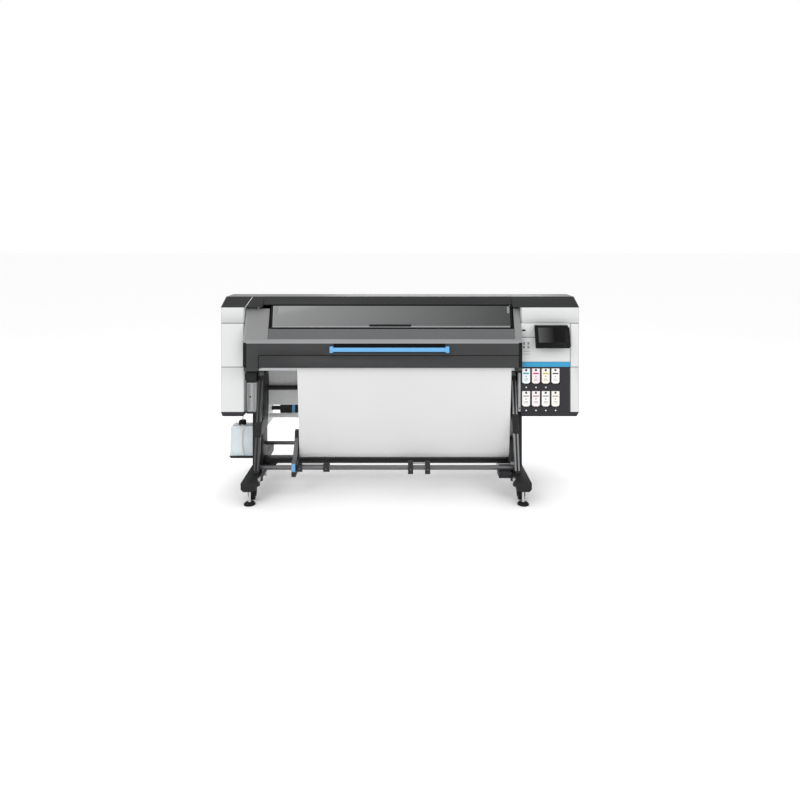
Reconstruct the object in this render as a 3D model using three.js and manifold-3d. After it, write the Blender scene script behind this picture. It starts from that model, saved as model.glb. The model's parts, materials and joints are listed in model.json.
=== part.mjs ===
/*
 * Wide roll-to-roll printer with a built-in cross cutter, standing on an open stand.
 * Millimetres, +Z up, X to the right of the operator, the front faces -Y.
 * The origin is the middle of the footprint, on the floor.
 */
import * as THREE from 'three';
import { mergeVertices } from 'three/addons/utils/BufferGeometryUtils.js';
import Module from 'manifold-3d';

const wasm = await Module();
wasm.setup();

/* ---------------------------------------------------------------- driving dimensions */

const GAP = 0.3; // clearance between neighbouring pieces
const HALF_WIDTH = 1291.5;
const HALF_DEPTH = 426;
const HEIGHT = 1402;

// Vertical levels
const FLOOR = 0;
const BEAM_BOTTOM = 100;
const BEAM_TOP = 160;
const SKIRT_BOTTOM = 544;
const SKIRT_TOP = 577;
const CHASSIS_BOTTOM = 860;
const CHASSIS_TOP = 925;
const PLATEN_TOP = 985;
const BAND_BOTTOM = 1215;
const CAP_BOTTOM = 1328;

// Body in plan
const MIDDLE = { x0: -1120, x1: 870 }; // clear width between the two end modules
const MODULE_FRONT = -176;
const MODULE_REAR = 300;
const WALL = 4;

// Stand
const COLUMN = { width: 75, front: -74, rear: 105, left: -1047.5, right: 860.5 };
const BEAM = { width: 105, chamfer: 17, left: -1032.5, right: 845.5, tail: 60, tailStart: 108, tailEnd: 150 };
const LEVELLER = { y: 385, pad: 39.5, stem: 7.5, top: 150 };
const CASTOR = { y: 285, trail: 22, radius: 30, width: 44, axle: 33, cheek: 5 };
const STRUT = { width: 35, left: -1016, right: 829, footY: -254, headY: -100, headZ: 790 };
const RAIL = { y: -210, z: 190, radius: 16, x0: -1020, x1: 836 };
const RAIL_RINGS = [[-730, -697, 30], [-546, -503, 30], [57, 93, 45], [179, 214, 45]];
const DEFLECTOR = { y: 50, z: 282, radius: 13.5 };

// Media path
const WEB = { x0: -731, x1: 793, thickness: 1, wrap: 60 };
const SUPPLY = { y: 280, z: 485, radius: 75, spindle: 16.5 };
const TAKEUP = { y: -60, z: 290, radius: 70, core: 30 };
const DRIVE_ROLLER = { y: 91, z: 958, radius: 27 };
const PLATEN_FRONT = -228;
const TABLE_REAR = 345;
const TABLE_RADIUS = 40;

// Front hood and window
const HOOD = { x0: -1115, x1: 868, front: -262, bottom: 911, leftArm: 171, rightArm: 48 };
const HANDLE = { x0: -494, x1: 346, z0: 1029, z1: 1058, front: -292, foot: 24 };
const WINDOW = { x0: -930, x1: 806 };

// Right module
const CORNER_X = 1222.3;
const STRIP_TOP = 937;
const DISPLAY = { x0: 963, x1: 1203, thickness: 14, hinge: 6 };
const INK = { first: 908, pitch: 70.4, width: 60, front: -168, rear: 80, rows: [[779, 891], [614, 728]] };

// Waste bottle beside the left column
const BOTTLE = { x0: -1270, x1: -1098, y0: 0, y1: 90, capX: -1185, capTop: 455 };
const HOSE = { x: -1091, y: 45, radius: 4 };

/* ---------------------------------------------------------------- finishes */

const FINISH = {
  white: { color: 0xe6e8e8, roughness: 0.45, metalness: 0 },
  capGrey: { color: 0x46474a, roughness: 0.5, metalness: 0 },
  armGrey: { color: 0x96989b, roughness: 0.5, metalness: 0 },
  inkDark: { color: 0x3e3c42, roughness: 0.5, metalness: 0 },
  blue: { color: 0x3f97e0, roughness: 0.4, metalness: 0 },
  legBlack: { color: 0x2c2d30, roughness: 0.7, metalness: 0.2 },
  aluminium: { color: 0xb4b7ba, roughness: 0.35, metalness: 0.9 },
  steel: { color: 0xa0a2a5, roughness: 0.35, metalness: 0.9 },
  glassDark: { color: 0x2a2c2f, roughness: 0.1, metalness: 0 },
  rubber: { color: 0x1e1e20, roughness: 0.8, metalness: 0 },
  paper: { color: 0xeeeeec, roughness: 0.8, metalness: 0 },
  cloudy: { color: 0xdde6ec, roughness: 0.35, metalness: 0 },
  label: { color: 0xe4e4e2, roughness: 0.6, metalness: 0 },
};

/* ---------------------------------------------------------------- shape helpers */

const object = new THREE.Group();
object.name = 'roll_printer_cutter';

/** Adds one named piece with its own finish. */
function piece(name, geometry, finish) {
  const mesh = new THREE.Mesh(geometry, new THREE.MeshStandardMaterial(FINISH[finish]));
  mesh.name = name;
  object.add(mesh);
}

function shapeOf(points, holes = []) {
  const shape = new THREE.Shape(points.map(([u, v]) => new THREE.Vector2(u, v)));
  for (const hole of holes) {
    shape.holes.push(new THREE.Path(hole.map(([u, v]) => new THREE.Vector2(u, v))));
  }
  return shape;
}

function extrude(points, depth, holes) {
  return new THREE.ExtrudeGeometry(shapeOf(points, holes), { depth, bevelEnabled: false });
}

/** A (Y, Z) outline carried from x0 to x1. */
function alongX(points, x0, x1, holes) {
  const turn = new THREE.Matrix4().set(0, 0, 1, x0, 1, 0, 0, 0, 0, 1, 0, 0, 0, 0, 0, 1);
  return extrude(points, x1 - x0, holes).applyMatrix4(turn);
}

/** An (X, Z) outline carried from y0 to y1. */
function alongY(points, y0, y1, holes) {
  const turn = new THREE.Matrix4().set(1, 0, 0, 0, 0, 0, -1, y1, 0, 1, 0, 0, 0, 0, 0, 1);
  return extrude(points, y1 - y0, holes).applyMatrix4(turn);
}

/** An (X, Y) outline carried from z0 to z1. */
function alongZ(points, z0, z1, holes) {
  return extrude(points, z1 - z0, holes).translate(0, 0, z0);
}

function box(x0, x1, y0, y1, z0, z1) {
  const middle = [(x0 + x1) / 2, (y0 + y1) / 2, (z0 + z1) / 2];
  return new THREE.BoxGeometry(x1 - x0, y1 - y0, z1 - z0).translate(...middle);
}

function roundedOutline(x0, x1, y0, y1, radius, steps = 3) {
  const centres = [[x1 - radius, y1 - radius], [x0 + radius, y1 - radius]];
  centres.push([x0 + radius, y0 + radius], [x1 - radius, y0 + radius]);
  return centres.flatMap(([cx, cy], corner) => arc(cx, cy, radius, corner * 90, corner * 90 + 90, steps));
}

/** Points on a circle from one angle to another, in degrees. */
function arc(cx, cy, radius, from, to, steps) {
  return Array.from({ length: steps + 1 }, (_, i) => {
    const angle = THREE.MathUtils.degToRad(from + ((to - from) * i) / steps);
    return [cx + radius * Math.cos(angle), cy + radius * Math.sin(angle)];
  });
}

function ring(cx, cy, radius, sides) {
  return arc(cx, cy, radius, 0, 360, sides).slice(0, sides);
}

/** A round piece turned about X: steps are [x, radius] pairs from left to right. */
function turnedX(steps, y, z, sides) {
  const profile = steps.map(([x, radius]) => new THREE.Vector2(radius, x));
  return new THREE.LatheGeometry(profile, sides).rotateZ(-Math.PI / 2).translate(0, y, z);
}

/** A round piece turned about Z: steps are [z, radius] pairs from the bottom up. */
function turnedZ(steps, x, y, sides) {
  const profile = steps.map(([z, radius]) => new THREE.Vector2(radius, z));
  return new THREE.LatheGeometry(profile, sides).rotateX(Math.PI / 2).translate(x, y, 0);
}

/** [position, radius] steps of a plain rod with both ends on the axis. */
function rod(from, to, radius) {
  return [[from, 0], [from, radius], [to, radius], [to, 0]];
}

function solid(geometry) {
  const bare = geometry.clone();
  bare.deleteAttribute('normal');
  bare.deleteAttribute('uv');
  const merged = mergeVertices(bare, 1e-3);
  const vertProperties = new Float32Array(merged.attributes.position.array);
  const triVerts = new Uint32Array(merged.index.array);
  return new wasm.Manifold(new wasm.Mesh({ numProp: 3, vertProperties, triVerts }));
}

function surface(manifold) {
  const mesh = manifold.getMesh();
  const geometry = new THREE.BufferGeometry();
  geometry.setAttribute('position', new THREE.BufferAttribute(new Float32Array(mesh.vertProperties), 3));
  geometry.setIndex(Array.from(mesh.triVerts));
  geometry.computeVertexNormals();
  return geometry;
}

/** Fuses several overlapping geometries into one. */
function join(first, ...others) {
  return surface(others.reduce((sum, next) => sum.add(solid(next)), solid(first)));
}

/** Removes every cutter from the first geometry. */
function cut(first, ...cutters) {
  return surface(cutters.reduce((rest, next) => rest.subtract(solid(next)), solid(first)));
}

function keepInside(first, second) {
  return surface(solid(first).intersect(solid(second)));
}

/** Outline of a sheet of even thickness that follows a line of points. */
function sheetOutline(line, thickness) {
  const sides = [[], []];
  line.forEach((point, i) => {
    const before = line[Math.max(i - 1, 0)];
    const after = line[Math.min(i + 1, line.length - 1)];
    const run = Math.hypot(after[0] - before[0], after[1] - before[1]);
    const normal = [-(after[1] - before[1]) / run, (after[0] - before[0]) / run];
    sides[0].push([point[0] + (normal[0] * thickness) / 2, point[1] + (normal[1] * thickness) / 2]);
    sides[1].push([point[0] - (normal[0] * thickness) / 2, point[1] - (normal[1] * thickness) / 2]);
  });
  return [...sides[0], ...sides[1].reverse()];
}

/* ---------------------------------------------------------------- stand */

/** Middle of a foot's fittings: behind the column the beam is narrower and keeps its outer edge. */
function footX(centre, end) {
  return end < 0 ? centre : centre + (Math.sign(centre) * (BEAM.width - BEAM.tail)) / 2;
}

/** Hollow floor beam: lower edges chamfered, a narrower tail, one bore near each end for a levelling stem. */
function footBeam(name, centre) {
  const half = BEAM.width / 2;
  const outline = [[centre - half, BEAM_TOP], [centre - half, BEAM_BOTTOM + BEAM.chamfer]];
  outline.push([centre - half + BEAM.chamfer, BEAM_BOTTOM], [centre + half - BEAM.chamfer, BEAM_BOTTOM]);
  outline.push([centre + half, BEAM_BOTTOM + BEAM.chamfer], [centre + half, BEAM_TOP]);
  const side = Math.sign(centre);
  const [outer, inner] = [centre + side * (half + 1), centre - side * (half + 1)];
  const tail = centre + side * (half - BEAM.tail);
  const plan = [[outer, -HALF_DEPTH - 1], [inner, -HALF_DEPTH - 1], [inner, BEAM.tailStart]];
  plan.push([tail, BEAM.tailEnd], [tail, HALF_DEPTH + 1], [outer, HALF_DEPTH + 1]);
  const body = keepInside(alongY(outline, -HALF_DEPTH, HALF_DEPTH), alongZ(plan, BEAM_BOTTOM - 5, BEAM_TOP + 5));
  const bores = [-1, 1].map((end) => {
    const bore = ring(footX(centre, end), end * LEVELLER.y, LEVELLER.stem + 1, 12);
    return alongZ(bore, BEAM_BOTTOM - 1, LEVELLER.top + 5);
  });
  const end = HALF_DEPTH - 5;
  const levels = [BEAM_BOTTOM + BEAM.chamfer, LEVELLER.top + 5];
  const front = box(centre - half + 5, centre + half - 5, -end, BEAM.tailStart - 5, ...levels);
  const rearHalf = BEAM.tail / 2 - 5;
  const rear = box(footX(centre, 1) - rearHalf, footX(centre, 1) + rearHalf, 90, end, ...levels);
  piece(name, cut(body, front, rear, ...bores), 'legBlack');
}

/** Hollow post, open underneath; above the modules' lower edge it clears the module beside it. */
function column(name, centre) {
  const half = COLUMN.width / 2;
  const outline = roundedOutline(centre - half, centre + half, COLUMN.front, COLUMN.rear, 6, 2);
  const post = alongZ(outline, BEAM_TOP + GAP, CHASSIS_BOTTOM);
  const notch = box(MIDDLE.x1 - 3, MIDDLE.x1 + 60, -100, 120, SKIRT_BOTTOM - 4, CHASSIS_BOTTOM + 5);
  const depth = [COLUMN.front + 5, COLUMN.rear - 5];
  const upper = box(centre - half + 5, centre, ...depth, 100, CHASSIS_BOTTOM - 6);
  const lower = box(centre - 1, centre + half - 5, ...depth, 100, SKIRT_BOTTOM - 10);
  piece(name, cut(post, upper, lower, notch), 'legBlack');
}

/** Channel between the two columns, with a gusset down to each floor beam. */
function crossBeam() {
  const x0 = COLUMN.left + COLUMN.width / 2 + GAP;
  const x1 = COLUMN.right - COLUMN.width / 2 - GAP;
  const hollow = box(x0 + 5, x1 - 5, -35, 35, 100, 190);
  const bar = cut(box(x0, x1, -40, 40, BEAM_TOP + GAP, 195), hollow);
  const gusset = (inner, side) => {
    const foot = [[inner, 193], [inner, 125], [inner + side * 40, 125], [inner + side * 92, 175]];
    foot.push([inner + side * 92, 193]);
    return alongY(foot, -30, 30);
  };
  const leftInner = BEAM.left + BEAM.width / 2 + GAP;
  const rightInner = BEAM.right - BEAM.width / 2 - GAP;
  piece('cross_beam', join(bar, gusset(leftInner, 1), gusset(rightInner, -1)), 'legBlack');
}

/** Slanting brace in front of a column, with its upper bracket. */
function strut(name, centre) {
  const half = STRUT.width / 2 + 1;
  const bottom = BEAM_TOP + GAP;
  const wall = COLUMN.front - GAP;
  const outline = [[STRUT.footY - half, bottom], [STRUT.footY + half, bottom]];
  outline.push([STRUT.headY + half, STRUT.headZ], [wall, STRUT.headZ], [wall, CHASSIS_BOTTOM - 2]);
  outline.push([STRUT.headY - half, CHASSIS_BOTTOM - 2], [STRUT.headY - half, STRUT.headZ]);
  const geometry = alongX(outline, centre - STRUT.width / 2, centre + STRUT.width / 2);
  piece(name, geometry, 'aluminium');
}

function levellingFoot(name, x, y) {
  const steps = [[FLOOR, 0], [FLOOR, LEVELLER.pad], [7, LEVELLER.pad], [17, 30], [22, 12], [26, 12]];
  steps.push([26, LEVELLER.stem], [LEVELLER.top, LEVELLER.stem], [LEVELLER.top, 0]);
  piece(name, turnedZ(steps, x, y, 20), 'rubber');
}

/** Swivel castor: a fork with two cheeks and a wheel that trails away from the middle. */
function castor(label, x, side) {
  const pivotY = side * CASTOR.y;
  const axleY = side * (CASTOR.y + CASTOR.trail);
  const top = BEAM_BOTTOM - GAP;
  const plate = turnedZ(rod(top - 8, top, 27), x, pivotY, 20);
  const outline = [[pivotY - side * 20, top - 2], [pivotY + side * 26, top - 2]];
  outline.push([axleY + side * 11, CASTOR.axle], [axleY, CASTOR.axle - 11], [axleY - side * 11, CASTOR.axle]);
  const inner = CASTOR.width / 2 + 2;
  const cheeks = [[x - inner - CASTOR.cheek, x - inner], [x + inner, x + inner + CASTOR.cheek]];
  const crown = box(x - inner - 1, x + inner + 1, pivotY - 20, pivotY + 20, top - 12, top - 2);
  const plates = cheeks.map(([a, b]) => alongX(outline, a, b));
  piece(`castor_fork_${label}`, join(plate, crown, ...plates), 'rubber');
  const half = CASTOR.width / 2;
  const steps = [[x - half, 0], [x - half, CASTOR.radius - 4], [x - half + 5, CASTOR.radius]];
  steps.push([x + half - 5, CASTOR.radius], [x + half, CASTOR.radius - 4], [x + half, 0]);
  piece(`castor_wheel_${label}`, turnedX(steps, axleY, CASTOR.axle, 24), 'rubber');
}

/** Round rail across the front of the stand, with clamp rings and a saddle on each floor beam. */
function takeupRail() {
  const steps = [[RAIL.x0, 0], [RAIL.x0, RAIL.radius]];
  for (const [from, to, radius] of RAIL_RINGS) {
    steps.push([from, RAIL.radius], [from, radius], [to, radius], [to, RAIL.radius]);
  }
  steps.push([RAIL.x1, RAIL.radius], [RAIL.x1, 0]);
  const saddle = (centre) => box(centre - 20, centre + 20, -224, -186, BEAM_TOP + GAP, 185);
  const tube = turnedX(steps, RAIL.y, RAIL.z, 18);
  piece('takeup_rail', join(tube, saddle(RAIL.x0 + 20), saddle(RAIL.x1 - 5)), 'aluminium');
}

function deflectorBar() {
  const from = COLUMN.left + COLUMN.width / 2 + GAP;
  const to = COLUMN.right - COLUMN.width / 2 - GAP;
  const bar = turnedX(rod(from, to, DEFLECTOR.radius), DEFLECTOR.y, DEFLECTOR.z, 14);
  piece('deflector_bar', bar, 'aluminium');
}

/** Rear cradle: two bracket plates, the lower rail, the entry bar and the bent guide sheet. */
function rollCradle() {
  const face = COLUMN.rear + GAP;
  const outline = [[face, 400], [280, 392], [325, 392], [325, 520], [250, 540], [165, 610]];
  outline.push([165, CHASSIS_BOTTOM - 2], [face, CHASSIS_BOTTOM - 2]);
  const bore = [ring(SUPPLY.y, SUPPLY.z, SUPPLY.spindle + 1.5, 20)];
  const x0 = COLUMN.left + COLUMN.width / 2;
  const x1 = COLUMN.right - COLUMN.width / 2;
  const left = alongX(outline, x0 - 25, x0, bore);
  const right = alongX(outline, x1, x1 + 25, bore);
  const rail = turnedX(rod(x0 - 2, x1 + 2, 17), 150, 462, 14);
  const entry = turnedX(rod(x0 - 2, x1 + 2, 17), 128, 680, 14);
  const line = [[122, 855], [146, 800], [158, 730], [158, 690], [150, 640], [142, 545]];
  const guide = alongX(sheetOutline(line, 3), x0 - 2, x1 + 2);
  piece('roll_cradle', join(left, right, rail, entry, guide), 'armGrey');
}

/* ---------------------------------------------------------------- chassis and platen */

/** Main beam, a channel open underneath, with the rear media table along its back. */
function chassisBeam() {
  const bend = arc(TABLE_REAR - TABLE_RADIUS, PLATEN_TOP - TABLE_RADIUS, TABLE_RADIUS, 0, 90, 5);
  const outline = [[-60, CHASSIS_BOTTOM + GAP], [312, CHASSIS_BOTTOM + GAP], [TABLE_REAR, 885], ...bend];
  outline.push([122, PLATEN_TOP], [122, CHASSIS_TOP], [-60, CHASSIS_TOP]);
  const hollow = [[-60 + WALL, 850], [306, 850], [TABLE_REAR - WALL, 890], [TABLE_REAR - WALL, 944]];
  hollow.push([304, PLATEN_TOP - WALL], [122 + WALL, PLATEN_TOP - WALL], [122 + WALL, CHASSIS_TOP - WALL]);
  hollow.push([-60 + WALL, CHASSIS_TOP - WALL]);
  const shell = alongX(outline, MIDDLE.x0 + GAP, MIDDLE.x1 - GAP);
  const inside = alongX(hollow, MIDDLE.x0 + GAP + WALL, MIDDLE.x1 - GAP - WALL);
  piece('chassis_beam', cut(shell, inside), 'steel');
}

/** Printing platen with its rounded front apron, open underneath. */
function platen() {
  const bend = arc(PLATEN_FRONT + TABLE_RADIUS, PLATEN_TOP - TABLE_RADIUS, TABLE_RADIUS, 90, 180, 5);
  const base = CHASSIS_TOP + GAP;
  const back = PLATEN_FRONT + 33;
  const outline = [[60, base], [60, PLATEN_TOP], ...bend, [PLATEN_FRONT, 885], [back, 885], [back, base]];
  const inFront = PLATEN_FRONT + WALL;
  const hollow = [[60 - WALL, 915], [60 - WALL, PLATEN_TOP - WALL], [-188, PLATEN_TOP - WALL]];
  hollow.push([inFront, 944], [inFront, 875], [back - WALL, 875], [back - WALL, base + WALL]);
  hollow.push([back + 6, base + WALL], [back + 6, 915]);
  const shell = alongX(outline, MIDDLE.x0 + GAP, MIDDLE.x1 - GAP);
  const inside = alongX(hollow, MIDDLE.x0 + GAP + WALL, MIDDLE.x1 - GAP - WALL);
  piece('platen', cut(shell, inside), 'steel');
}

function driveRoller() {
  const from = MIDDLE.x0 + 3;
  const to = MIDDLE.x1 - 3;
  const steps = [[from, 0], [from, 12], [from + 30, 12], [from + 30, DRIVE_ROLLER.radius]];
  steps.push([to - 30, DRIVE_ROLLER.radius], [to - 30, 12], [to, 12], [to, 0]);
  piece('drive_roller', turnedX(steps, DRIVE_ROLLER.y, DRIVE_ROLLER.z, 24), 'rubber');
}

function carriageParts() {
  const rail = box(MIDDLE.x0 + GAP, MIDDLE.x1 - GAP, 40, 90, 1150, BAND_BOTTOM);
  piece('carriage_rail', rail, 'aluminium');
  const body = box(540, 800, -140, 39, 1000, 1180);
  const saddle = box(580, 760, -60, 70, 1170, 1240);
  const railSpace = box(570, 770, 39, 95, 1140, BAND_BOTTOM + 1);
  piece('print_carriage', cut(join(body, saddle), railSpace), 'inkDark');
}

/** Cross cutter parked at the left end of the platen front. */
function cutter() {
  const body = box(-1092, -1032, -213, -165, 988, 1028);
  const nose = alongX([[-213, 988], [-222, 996], [-222, 1014], [-213, 1028], [-205, 1008]], -1080, -1044);
  piece('cross_cutter', join(body, nose), 'capGrey');
}

/* ---------------------------------------------------------------- end modules and top */

/** Upright moulded cover with rounded corners, hollow and open underneath. */
function moulding(x0, x1, z0, z1, radius) {
  const shell = alongZ(roundedOutline(x0, x1, MODULE_FRONT, MODULE_REAR, radius), z0, z1);
  const inside = box(x0 + WALL, x1 - WALL, MODULE_FRONT + WALL, MODULE_REAR - WALL, z0 - 5, z1 - WALL);
  return cut(shell, inside);
}

/** Dark lower edge of a module, seen from the front as a tray with slanting ends. */
function skirt(name, outline) {
  const tray = alongY(outline, MODULE_FRONT, MODULE_REAR);
  const xs = outline.map(([x]) => x);
  const inside = box(Math.min(...xs) + 30, Math.max(...xs) - 50, -160, 285, SKIRT_BOTTOM + WALL, SKIRT_TOP + 5);
  piece(name, cut(tray, inside), 'inkDark');
}

function leftModule() {
  const cover = moulding(-HALF_WIDTH, MIDDLE.x0, SKIRT_TOP + GAP, CAP_BOTTOM, 14);
  piece('left_cover', cover, 'white');
  const outline = [[-HALF_WIDTH, SKIRT_TOP], [-1278, SKIRT_BOTTOM], [-1133, SKIRT_BOTTOM]];
  skirt('left_skirt', [...outline, [-1097, SKIRT_TOP]]);
}

/** Right cover: the upper band and the tall corner are one moulding. */
function rightModule() {
  const band = moulding(MIDDLE.x1, HALF_WIDTH, BAND_BOTTOM + GAP, CAP_BOTTOM, 14);
  const corner = moulding(CORNER_X + GAP, HALF_WIDTH, SKIRT_TOP + GAP, BAND_BOTTOM + 8, 14);
  piece('right_cover', join(band, corner), 'white');
  const panelOutline = [MODULE_FRONT, MODULE_REAR, STRIP_TOP + GAP, BAND_BOTTOM];
  const panel = box(MIDDLE.x1, CORNER_X, ...panelOutline);
  const inside = box(MIDDLE.x1 + WALL, CORNER_X - WALL, -172, 296, STRIP_TOP - 5, BAND_BOTTOM - WALL);
  piece('right_panel', cut(panel, inside), 'white');
  const outline = [[MIDDLE.x1, SKIRT_TOP], [MIDDLE.x1, SKIRT_BOTTOM], [1272, SKIRT_BOTTOM]];
  skirt('right_skirt', [...outline, [HALF_WIDTH, SKIRT_TOP]]);
}

/** Ink bay: eight pockets in two rows, with an empty space behind them. */
function inkBay() {
  const block = box(MIDDLE.x1, CORNER_X, MODULE_FRONT, MODULE_REAR, SKIRT_TOP + GAP, STRIP_TOP);
  const behind = box(MIDDLE.x1 + WALL, CORNER_X - WALL, 100, 296, SKIRT_TOP - 5, STRIP_TOP - WALL);
  const pockets = INK.rows.flatMap(([z0, z1]) => [0, 1, 2, 3].map((i) => {
    const x = INK.first + i * INK.pitch;
    return box(x - 31, x + 31, MODULE_FRONT - 5, 90, z0 - 1, z1 + 1);
  }));
  piece('ink_bay', cut(block, behind, ...pockets), 'inkDark');
}

/** One ink cartridge: a slim box with its lower front edge cut back. */
function inkCartridges() {
  INK.rows.forEach(([z0, z1], row) => {
    for (let i = 0; i < 4; i += 1) {
      const x = INK.first + i * INK.pitch;
      const outline = [[INK.front, z0 + 14], [INK.front + 8, z0], [INK.rear, z0], [INK.rear, z1]];
      outline.push([INK.front, z1]);
      const body = alongX(outline, x - INK.width / 2, x + INK.width / 2);
      piece(`ink_cartridge_${row + 1}_${i + 1}`, body, 'label');
    }
  });
}

/** Sloping cap over one end module; its outer end leans inward. */
function endCap(name, x0, x1, outerSide) {
  const base = CAP_BOTTOM + GAP;
  const section = [[MODULE_FRONT, base], [-118, HEIGHT], [80, HEIGHT], [MODULE_REAR, base]];
  const lean = 26;
  const left = outerSide < 0 ? lean : 0;
  const right = outerSide > 0 ? lean : 0;
  const front = [[x0, base], [x1, base], [x1 - right, HEIGHT], [x0 + left, HEIGHT]];
  const body = keepInside(alongX(section, x0, x1), alongY(front, -300, 400));
  const hollow = [[-160, 1320], [-112, HEIGHT - WALL], [76, HEIGHT - WALL], [276, 1320]];
  piece(name, cut(body, alongX(hollow, x0 + 28, x1 - 28)), 'capGrey');
}

/** Centre cover: front lip, flat top, rear slope and the upright rear wall. */
function topCover() {
  const outer = [[-150, 1347], [-118, HEIGHT], [80, HEIGHT], [303, CAP_BOTTOM]];
  const inner = [[303, CAP_BOTTOM - 10], [78, HEIGHT - 10], [-112, HEIGHT - 10], [-141, 1344]];
  const roof = alongX([...outer, ...inner], -990, 810.7);
  const face = MODULE_REAR + GAP;
  const wall = [[face, 1015], [326, 1015], [330, 1020], [330, 1285], [face, CAP_BOTTOM]];
  const back = alongX(wall, MIDDLE.x0 + GAP, MIDDLE.x1 - GAP);
  const ceiling = [[MIDDLE.x0 + 12, 1010], [MIDDLE.x1 - 12, 1010], [MIDDLE.x1 - 12, 1300]];
  const hollow = alongY([...ceiling, [MIDDLE.x0 + 12, 1300]], 295, 322);
  piece('top_cover', join(roof, cut(back, hollow)), 'capGrey');
}

/* ---------------------------------------------------------------- hood, window, display */

/** Front hood: bent door panel, one arm at each end, a recess behind the handle. */
function hood() {
  const { x0, x1, front, bottom } = HOOD;
  const door = [[front, bottom], [front, 1084], [-256, 1092], [-225, 1108], [-190, 1176], [-176, 1176]];
  door.push([-207, 1112], [-240, 1082], [-240, bottom]);
  const arm = [[-226, 1106], [-136, 1316], [-110, 1316], [-110, 1285], [-198, 1092], [-214, 1092]];
  const left = alongX(arm, x0, x0 + HOOD.leftArm);
  const right = alongX(arm, x1 - HOOD.rightArm, x1);
  const corner = (x, side) => {
    const outline = [[x - side, -300], [x + side * 30, -300], [x + side * 30, front], [x - side, front + 23]];
    return alongZ(outline, bottom - 5, 1089);
  };
  const recess = box(HANDLE.x0 + HANDLE.foot + 2, HANDLE.x1 - HANDLE.foot - 2, -300, -250, 1020, 1083);
  const body = join(alongX(door, x0, x1), left, right);
  piece('front_hood', cut(body, corner(x0, 1), corner(x1, -1), recess), 'capGrey');
}

/** Bar handle with a foot at each end. */
function doorHandle() {
  const { x0, x1, z0, z1, front, foot } = HANDLE;
  const bar = alongX(roundedOutline(front, front + 15, z0, z1, 5, 2), x0, x1);
  const feet = [[x0, x0 + foot], [x1 - foot, x1]].map(([a, b]) => {
    return box(a, b, front + 2, HOOD.front - GAP, z0 - 6, z1 + 7);
  });
  piece('door_handle', join(bar, ...feet), 'blue');
}

/** Tinted window leaning back between the hood arms. */
function windowPane() {
  const outline = [[-149, 1338], [-187, 1190], [-177, 1188], [-139, 1336]];
  piece('window', alongX(outline, WINDOW.x0, WINDOW.x1), 'glassDark');
}

/** Touch screen, leaning back, on a hinge barrel at its top edge. */
function display() {
  const slab = [[-252, 1050], [-238.8, 1045.2], [-182.8, 1199.2], [-196, 1204]];
  const barrel = turnedX(rod(1000, 1166, DISPLAY.hinge), -182.6, 1196, 14);
  piece('display', join(alongX(slab, DISPLAY.x0, DISPLAY.x1), barrel), 'glassDark');
}

/* ---------------------------------------------------------------- media and rollers */

function supplyRoll() {
  const { y, z, radius, spindle } = SUPPLY;
  const steps = [[-1040, 0], [-1040, spindle], [-940, spindle], [-940, 47], [-810, 47], [-810, 38]];
  steps.push([WEB.x0 - 1, 38], [WEB.x0 - 1, spindle], [WEB.x1 + 1, spindle], [WEB.x1 + 1, 38]);
  steps.push([814, 38], [814, spindle], [852, spindle], [852, 0]);
  piece('supply_spindle', turnedX(steps, y, z, 20), 'inkDark');
  const hole = spindle + 0.6;
  const tube = [[WEB.x0, hole], [WEB.x0, radius], [WEB.x1, radius], [WEB.x1, hole], [WEB.x0, hole]];
  piece('supply_roll', turnedX(tube, y, z, 32), 'paper');
}

/** The printed web: supply roll, rear table, platen, then down to the take-up roll. */
function mediaWeb() {
  const off = WEB.thickness;
  const turn = TABLE_RADIUS + off;
  const level = PLATEN_TOP - TABLE_RADIUS;
  const rear = arc(TABLE_REAR - TABLE_RADIUS, level, turn, 0, 90, 5);
  const front = arc(PLATEN_FRONT + TABLE_RADIUS, level, turn, 90, 180, 5);
  const leave = [PLATEN_FRONT - off, 884];
  const reach = TAKEUP.radius + off;
  const run = [TAKEUP.y - leave[0], TAKEUP.z - leave[1]];
  const distance = Math.hypot(...run);
  const heading = THREE.MathUtils.radToDeg(Math.atan2(-run[1], -run[0]));
  const touch = heading + THREE.MathUtils.radToDeg(Math.acos(reach / distance));
  const wrap = arc(TAKEUP.y, TAKEUP.z, reach, touch, touch + WEB.wrap, 6);
  const start = [[SUPPLY.y + SUPPLY.radius + off, SUPPLY.z], [TABLE_REAR + off, 880]];
  const line = [...start, ...rear, ...front, leave, ...wrap];
  piece('media_web', alongX(sheetOutline(line, off), WEB.x0, WEB.x1), 'paper');
}

/** Take-up reel: the wound roll on its core. */
function takeupRoll() {
  const { y, z, radius, core } = TAKEUP;
  const steps = [[-738.7, 0], [-738.7, core], [WEB.x0, core], [WEB.x0, radius], [WEB.x1, radius]];
  steps.push([WEB.x1, core], [796.7, core], [796.7, 0]);
  piece('takeup_roll', turnedX(steps, y, z, 32), 'paper');
}

/** Left reel arm: an upright plate that slides along the front rail. */
function takeupArm() {
  const outline = [[-250, 136], [-165, 136], [-20, 245], [-20, 335], [-62, 420], [-100, 420]];
  outline.push([-118, 345], [-196, 250], [-250, 236]);
  const bore = [ring(RAIL.y, RAIL.z, RAIL.radius + 0.6, 24)];
  piece('takeup_arm', alongX(outline, -769, -739, bore), 'armGrey');
  const lever = alongX(roundedOutline(-264, -251, 176, 232, 5, 2), -767, -741);
  piece('arm_lever', lever, 'blue');
}

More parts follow.
